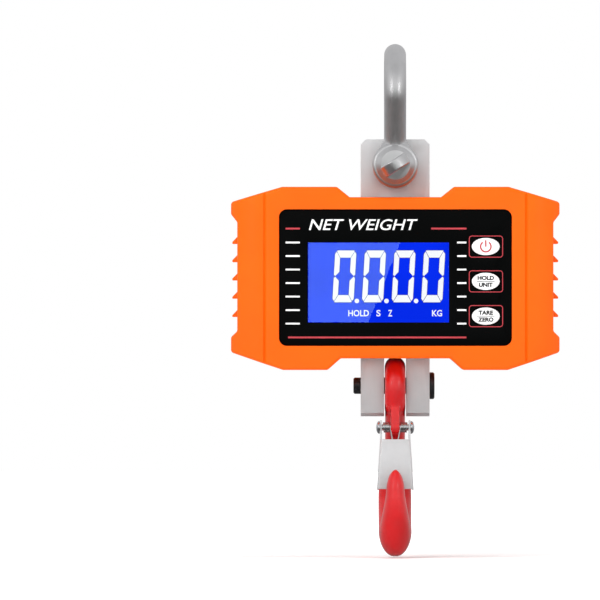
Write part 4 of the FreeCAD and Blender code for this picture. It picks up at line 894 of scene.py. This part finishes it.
CARRIED_OVER = {
    "black_nitrile": ["shell_gasket", "upper_seal", "lower_seal", "door_seal"],
    "black_nylon": ["lcd_frame", "battery_tray", "power_switch_plunger", "hold_switch_plunger",
                    "tare_switch_plunger"],
    "milky_acrylic": ["lcd_backlight"],
    "green_solder_mask": ["main_board"],
    "black_epoxy": ["controller_chip", "converter_chip", "power_regulator", "buzzer"],
    "natural_nylon": ["board_sockets"],
    "white_silicone": ["gauge_potting"],
    "constantan_foil": ["strain_gauges"],
    "cell_sleeve": ["battery_cells"],
    "grey_pvc": ["load_cell_cable", "battery_leads"],
    "zinc_screw": ["load_cell_screws", "board_screws", "battery_contacts", "crystal_can",
                   "key_switches"],
}


class CRANE_OT_shells(bpy.types.Operator):
    """Front and rear shells, with every sharp edge just broken"""
    bl_idname = "crane.shells"
    bl_label = "Shells"

    def execute(self, context):
        for node in ("front_shell", "rear_shell"):
            finished_copy(node, "_moulding", "satin_orange_abs", "scale_body", "orange_abs", 0.6, 3, 25)
        return {"FINISHED"}


class CRANE_OT_carried_over(bpy.types.Operator):
    """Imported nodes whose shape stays, each with its real finish"""
    bl_idname = "crane.carried_over"
    bl_label = "Inner parts"

    def execute(self, context):
        for finish_name, nodes in CARRIED_OVER.items():
            for node in nodes:
                for slot in NODES[node].material_slots:
                    slot.material = material(finish_name)
        return {"FINISHED"}


class CRANE_OT_back(bpy.types.Operator):
    """The back's battery door, rating plate and screws"""
    bl_idname = "crane.back"
    bl_label = "Back"

    def execute(self, context):
        for node, suffix, finish_name, slot, width, segments in (
                ("battery_door", "_moulding", "satin_orange_abs", "orange_abs", 0.35, 3),
                ("rating_plate", "_blank", "brushed_aluminium", "plate_aluminium", 0.12, 3),
                ("shell_screws", "_turned", "zinc_screw", "bright_zinc", 0.12, 2),
                ("door_screws", "_turned", "zinc_screw", "bright_zinc", 0.12, 2)):
            finished_copy(node, suffix, finish_name, "scale_body", slot, width, segments)
        return {"FINISHED"}


class CRANE_OT_panel(bpy.types.Operator):
    """Front panel with its printed marks, and the window"""
    bl_idname = "crane.panel"
    bl_label = "Front panel"

    def execute(self, context):
        body = "scale_body"
        finished_copy("front_panel", "_film", "matt_black_film", body, "black_panel", 0.12, 2)
        finished_copy("display_window", "_sheet", "clear_acrylic", body, "window_acrylic", 0.1, 1)
        thickness = context.scene.crane_sizes.print_thickness / MM
        front = box_mm("front_panel")[0][1]
        self.white_marks(front, thickness)
        self.red_marks(front, thickness)
        return {"FINISHED"}

    def white_marks(self, front, thickness):
        """Seven ticks at each side of the window and the legend over it."""
        surfaces = []
        centre = middle_mm("display_window")
        first, step = centre[2] + 25.5, 8.63
        for left, right in ((-70.1, -61.0), (39.4, 45.3)):
            surfaces += [self.rule(left, right, first - i * step, 1.05, front, thickness)
                         for i in range(7)]
        surfaces.append(lettering("NET WEIGHT", 7.0, 69.5, (centre[0] - 9.7, centre[2] + 36.9),
                                  front - thickness, thickness, 0.006, 0.25))
        made = new_object("panel_print_white", *join(surfaces))
        finish(made, "white_ink", "scale_body", "white_keys")

    def red_marks(self, front, thickness):
        """Rules beside the legend and under the window, and a thin frame round each key."""
        centre = middle_mm("front_panel")[2]
        top, foot = centre + 31.3, centre - 38.2
        surfaces = [self.rule(left, right, z, 1.1, front, thickness)
                    for left, right, z in ((-70.1, -60.9, top), (22.8, 45.4, top), (-68.5, 45.3, foot))]
        for name in KEYS:
            x, _, z = middle_mm(f"{name}_key_cap")
            surfaces.append(frame_outline((x + 0.1, z), 21.8, 14.0, 2.0, 0.5, front - thickness,
                                          front + PRINT_SUNK))
        made = new_object("panel_print_red", *join(surfaces))
        finish(made, "red_ink", "scale_body", "red_enamel")

    def rule(self, left, right, z, height, front, thickness):
        """A printed bar with rounded ends, from left to right at a height."""
        outline = rounded_box_outline(((left + right) / 2, z), right - left, height, 0.2, 3)
        return slab(outline, front - thickness, front + PRINT_SUNK)


def digit_segments(left, low, width, height, slope, lit, grow=0.0):
    """The lit bars of one seven-bar figure: mitred outlines whose outer corners are cut off, leaning
    by the slope. A bar that grows moves each of its edges out from its middle."""
    t, s, gap, cut, corner, fall, nib = 4.5, 3.2, 0.24, 2.6, 1.3, 2.2, 0.8
    x0, x1, y0, y1, ym = 0.0, width, 0.0, height, height / 2
    upper = [(x1, y1 - fall), (x1, ym + gap + nib), (x1 - nib, ym + gap), (x1 - s, ym + gap + cut),
             (x1 - s, y1 - t - gap), (x1 - 0.75 * corner, y1 - 0.25 * fall - gap)]
    across = [(x0 + corner, y1), (x1 - corner, y1), (x1 - 0.75 * corner - gap, y1 - 0.25 * fall),
              (x1 - s - gap, y1 - t), (x0 + s + gap, y1 - t),
              (x0 + 0.75 * corner + gap, y1 - 0.25 * fall)]
    bars = {
        "a": across,
        "b": upper,
        "c": [(x, y0 + y1 - y) for x, y in upper],
        "d": [(x, y0 + y1 - y) for x, y in across],
        "e": [(x0 + x1 - x, y0 + y1 - y) for x, y in upper],
        "f": [(x0 + x1 - x, y) for x, y in upper],
        "g": [(x0 + 1.2, ym), (x0 + s, ym + t / 2), (x1 - s, ym + t / 2), (x1 - 1.2, ym),
              (x1 - s, ym - t / 2), (x0 + s, ym - t / 2)],
    }
    outlines = []
    for key in lit:
        points = np.array(bars[key], float)
        points += grow * np.sign(points - (points.min(axis=0) + points.max(axis=0)) / 2)
        x, y = points.T
        outlines.append(np.column_stack([left + x + slope * y, low + y]))
    return outlines


BARS = {"0": "abcdef", "1": "bc", "2": "abged", "3": "abgcd", "4": "fgbc", "5": "afgcd",
        "6": "afgedc", "7": "abc", "8": "abcdefg", "9": "abcdfg"}


class CRANE_OT_display(bpy.types.Operator):
    """Lit display: figures, points and signs on the liquid crystal glass"""
    bl_idname = "crane.display"
    bl_label = "Display"

    def execute(self, context):
        finished_copy("lcd_glass", "_lit", "lit_blue_lcd", "scale_body", "lcd_blue", 0.1, 1)
        depth, lit_depth, rim_width = 0.03, 0.01, 0.28
        front = box_mm("lcd_glass")[0][1] - depth
        centre = middle_mm("display_window")
        pitch, width, height, slope = 18.9, 13.4, 33.0, 0.058
        left, low = centre[0] - 29.4, centre[2] - 12.6
        surfaces, rims = [], []
        digits = [c for c in context.scene.crane_sizes.reading if c != "."]
        for i, figure in enumerate(digits):
            place = (left + i * pitch, low, width, height, slope, BARS[figure])
            surfaces += [slab(bar, front, front + lit_depth) for bar in digit_segments(*place)]
            rims += [slab(bar, front + lit_depth, front + depth)
                     for bar in digit_segments(*place, rim_width)]
        dot_x, dot_z, dot_r = 15.6, 0.8, 1.45
        for i in range(len(digits) - 1):
            dot = oval((left + i * pitch + dot_x, low + dot_z), dot_r, dot_r, full_turn(20))
            surfaces.append(slab(dot, front, front + depth))
        sign_z, sign_height = centre[2] - 19.6, 4.1
        signs = (("HOLD", -12.7, 13.2), ("S", 0.0, 2.7), ("Z", 7.5, 2.6), ("KG", 37.4, 6.4))
        for text, x, wide in signs:
            place = (centre[0] + x, sign_z)
            surfaces.append(lettering(text, sign_height, wide, place, front, depth))
        made = new_object("lcd_figures", *join(surfaces))
        finish(made, "lit_white_segment", "scale_body", "light_guide")
        rim = new_object("lcd_figure_rims", *join(rims))
        finish(rim, "dark_lcd_rim", "scale_body", "lcd_blue")
        return {"FINISHED"}


class CRANE_OT_keys(bpy.types.Operator):
    """Three oval keys with their printed signs"""
    bl_idname = "crane.keys"
    bl_label = "Keys"

    def execute(self, context):
        thickness = context.scene.crane_sizes.print_thickness / MM
        for name in KEYS:
            node = f"{name}_key_cap"
            body = f"{name}_key"
            cap = self.cap(node)
            finish(cap, "white_polycarbonate", body, "white_keys", node)
            x, _, z = middle_mm(node)
            front = box_mm(node)[0][1] - thickness
            if name == "power":
                made = new_object("power_key_print", *self.power_sign(x, z, front, thickness))
                finish(made, "red_ink", body, "red_enamel")
            else:
                words = {"hold": (("HOLD", 10.6), ("UNIT", 8.9)),
                         "tare": (("TARE", 9.4), ("ZERO", 9.9))}[name]
                rule = rounded_box_outline((x, z), 11.4, 0.4, 0.1, 2)
                parts = [slab(rule, front, front + thickness)]
                for (word, wide), step in zip(words, (2.2, -2.2)):
                    place = (x, z + step)
                    parts.append(lettering(word, 2.8, wide, place, front, thickness, 0.05))
                made = new_object(f"{name}_key_print", *join(parts))
                finish(made, "black_ink", body, "chip_epoxy")
        return {"FINISHED"}

    def cap(self, node):
        """An oval button: a low dome with a rounded rim, a straight side, a flange and a stem."""
        low, high = box_mm(node)
        middle = (low + high) / 2
        half_w, half_h, front = 8.9, 5.5, low[1]
        flange, flange_front, flange_back, fillet = 1.7, -23.8, -22.6, 0.2
        pole, stem_r = 0.02, 2.2
        rows = [(front, pole, pole), (front + 0.03, half_w * 0.55, half_h * 0.55)]
        for y, grow in ((front + 0.08, -0.9), (front + 0.2, -0.35), (front + 0.45, -0.08),
                        (front + 0.8, 0.0), (flange_front, 0.0), (flange_front, flange - fillet),
                        (flange_front + fillet, flange), (flange_back - fillet, flange),
                        (flange_back, flange - fillet)):
            rows.append((y, half_w + grow, half_h + grow))
        rows.append((flange_back, pole, pole))
        rings = [at_depth(oval(middle[::2], across, up, full_turn(96)), y) for y, across, up in rows]
        length = high[1] - flange_back
        stem = lathe([(0, stem_r), (length - fillet, stem_r), (length, stem_r - fillet)],
                     (middle[0], flange_back, middle[2]), (0, 1, 0), 32)
        made = new_object(node + "_moulding", *join([grid(np.stack(rings)), grid(stem)]))
        return shade(made, 30)

    def power_sign(self, x, z, front, thickness):
        """An open ring with a bar through its gap."""
        turn = np.radians(np.linspace(125, 415, 60))
        outer, inner, back = 3.8, 2.85, front + thickness
        rings = [at_depth(oval((x, z), radius, radius, turn), y)
                 for radius, y in ((outer, front), (outer, back), (inner, back), (inner, front))]
        bar = slab(rounded_box_outline((x, z + 2.0), 0.95, 4.2, 0.1, 2), front, back)
        return join([grid(np.stack(rings, axis=1)), bar])


# ---- stage -----------------------------------------------------------------------------------

class CRANE_OT_stage(bpy.types.Operator):
    """Pale floor with a painted glow, soft studio lights and the camera"""
    bl_idname = "crane.stage"
    bl_label = "Stage"

    def execute(self, context):
        self.floor()
        self.room(context.scene)
        self.lights()
        self.camera(context.scene)
        context.scene.view_settings.view_transform = "Standard"
        return {"FINISHED"}

    def floor(self):
        """A level floor just under the object, open on all sides."""
        ground, half = CAD_BOX[0][2] - 0.001, 4.0
        corners = [[x * half, y * half, ground] for x, y in ((-1, -1), (1, -1), (1, 1), (-1, 1))]
        self.sheet("floor", corners, "pale_floor").visible_glossy = False

    def sheet(self, name, corners, finish_name):
        """A flat four-cornered part of the stage."""
        mesh = bpy.data.meshes.new(name)
        mesh.from_pydata(corners, [], [[0, 1, 2, 3]])
        mesh.materials.append(material(finish_name))
        made = placed(name, mesh)
        return made

    def room(self, scene):
        """The studio round the object: a white wall in front, greyer above and behind, dark below, and
        plain white where the camera looks past the object."""
        world = bpy.data.worlds.new("studio")
        world.use_nodes = True
        tree = world.node_tree
        tree.nodes.clear()
        way = add(tree, "ShaderNodeTexCoord").outputs["Generated"]
        parts = add(tree, "ShaderNodeSeparateXYZ", {"Vector": way})
        up = parts.outputs["Z"]
        rise = between(tree, up, 0, 1, -0.2, 0.12)
        high = between(tree, up, 0, 1, 0.35, 0.7)
        back = between(tree, parts.outputs["Y"], 0, 1, -0.6, 0.2)
        wall = mixed(tree, high, linear("#FFFFFF"), linear("#C6C6C7"))
        front = mixed(tree, rise, linear("#605C5B"), wall)
        rear = mixed(tree, rise, linear("#7C7B7B"), linear("#D2D2D3"))
        seen = add(tree, "ShaderNodeLightPath").outputs["Is Camera Ray"]
        final = mixed(tree, seen, mixed(tree, back, front, rear), linear("#FFFFFF"))
        light = add(tree, "ShaderNodeBackground", {"Color": final})
        add(tree, "ShaderNodeOutputWorld", {"Surface": light.outputs[0]})
        scene.world = world

    def lights(self):
        """Softboxes aimed at the housing: name, place, width, height and power in watts."""
        lamps = [
            ("key_softbox", (-0.75, -1.25, 0.95), 1.1, 0.8, 13.0),
            ("top_softbox", (0.15, -0.35, 1.25), 1.2, 0.5, 9.0),
            ("left_strip", (-0.95, -1.1, 0.2), 0.3, 0.3, 0.9),
            ("right_strip", (0.95, -1.1, 0.2), 0.3, 0.3, 0.9),
        ]
        aim = Vector((0, 0, -0.15))
        for name, place, width, height, power in lamps:
            turned = (aim - Vector(place)).to_track_quat("-Z", "Y").to_euler()
            made = self.lamp(name, place, turned, width, height, power)
            made.visible_glossy = name.endswith("strip")

    def lamp(self, name, place, turned, width, height, power):
        made = bpy.data.lights.new(name, "AREA")
        made.shape = "RECTANGLE"
        made.size, made.size_y = width, height
        made.energy = power
        holder = placed(name, made)
        holder.location = place
        holder.rotation_euler = turned
        holder.visible_camera = False
        return holder

    def camera(self, scene):
        """A long lens level with the object, which stands to the right of the picture's middle, and
        beside it a lit card and a dark one, whose leaning shared edge the display's window mirrors."""
        distance, view_height = 8.0, 0.3832
        lens = bpy.data.cameras.new("camera")
        lens.sensor_width = 36.0
        lens.lens = lens.sensor_width / (view_height / distance)
        lens.clip_end = 30.0
        holder = placed("camera", lens)
        holder.location = (-0.0609, CAD_BOX[0][1] - distance + 0.02, -0.1501)
        holder.rotation_euler = Euler((math.radians(90), 0, 0), "XYZ")
        scene.camera = holder
        card, lean = 0.5, math.radians(21.7)
        edge = holder.location + Vector((0.1075, -0.05, 0.0213))
        place = edge - Vector((math.cos(lean), 0, -math.sin(lean))) * card / 2
        turned = Euler((math.radians(90), lean, 0), "XYZ")
        front_card = self.lamp("front_card", place, turned, card, card, 1.6)
        front_card.data.color = linear("#AFFFD8")[:3]
        self.dark_card(edge, lean, card)

    def dark_card(self, edge, lean, size):
        """The unlit card beside the lit one, seen only in reflections."""
        side = np.array([math.cos(lean), 0, -math.sin(lean)]) * size
        rise = np.array([math.sin(lean), 0, math.cos(lean)]) * size / 2
        corners = np.array([-rise, side - rise, side + rise, rise]) + np.array(edge)
        made = self.sheet("dark_card", corners.tolist(), "dark_flock")
        made.visible_camera = made.visible_diffuse = made.visible_shadow = False


# ---- the add-on ------------------------------------------------------------------------------

MAKERS = (CRANE_OT_shackle, CRANE_OT_shackle_pin, CRANE_OT_load_cell, CRANE_OT_hook, CRANE_OT_latch,
          CRANE_OT_shells, CRANE_OT_carried_over, CRANE_OT_back, CRANE_OT_panel, CRANE_OT_display,
          CRANE_OT_keys, CRANE_OT_stage)


class CRANE_PT_panel(bpy.types.Panel):
    """Lists the makers of the scale's pieces and its colours and sizes"""
    bl_idname = "CRANE_PT_panel"
    bl_label = "Crane scale"
    bl_space_type = "VIEW_3D"
    bl_region_type = "UI"
    bl_category = "Crane scale"

    def draw(self, context):
        for maker in MAKERS:
            self.layout.operator(maker.bl_idname)
        for group in (context.scene.crane_colours, context.scene.crane_sizes):
            for name in group.__annotations__:
                self.layout.prop(group, name)


CLASSES = (CraneColours, CraneSizes, *MAKERS, CRANE_PT_panel)


def register():
    for item in CLASSES:
        bpy.utils.register_class(item)
    bpy.types.Scene.crane_colours = PointerProperty(type=CraneColours)
    bpy.types.Scene.crane_sizes = PointerProperty(type=CraneSizes)


def unregister():
    del bpy.types.Scene.crane_sizes
    del bpy.types.Scene.crane_colours
    for item in reversed(CLASSES):
        bpy.utils.unregister_class(item)


def main():
    register()
    for maker in MAKERS:
        area, name = maker.bl_idname.split(".")
        getattr(getattr(bpy.ops, area), name)()


if __name__ == "__main__":
    main()
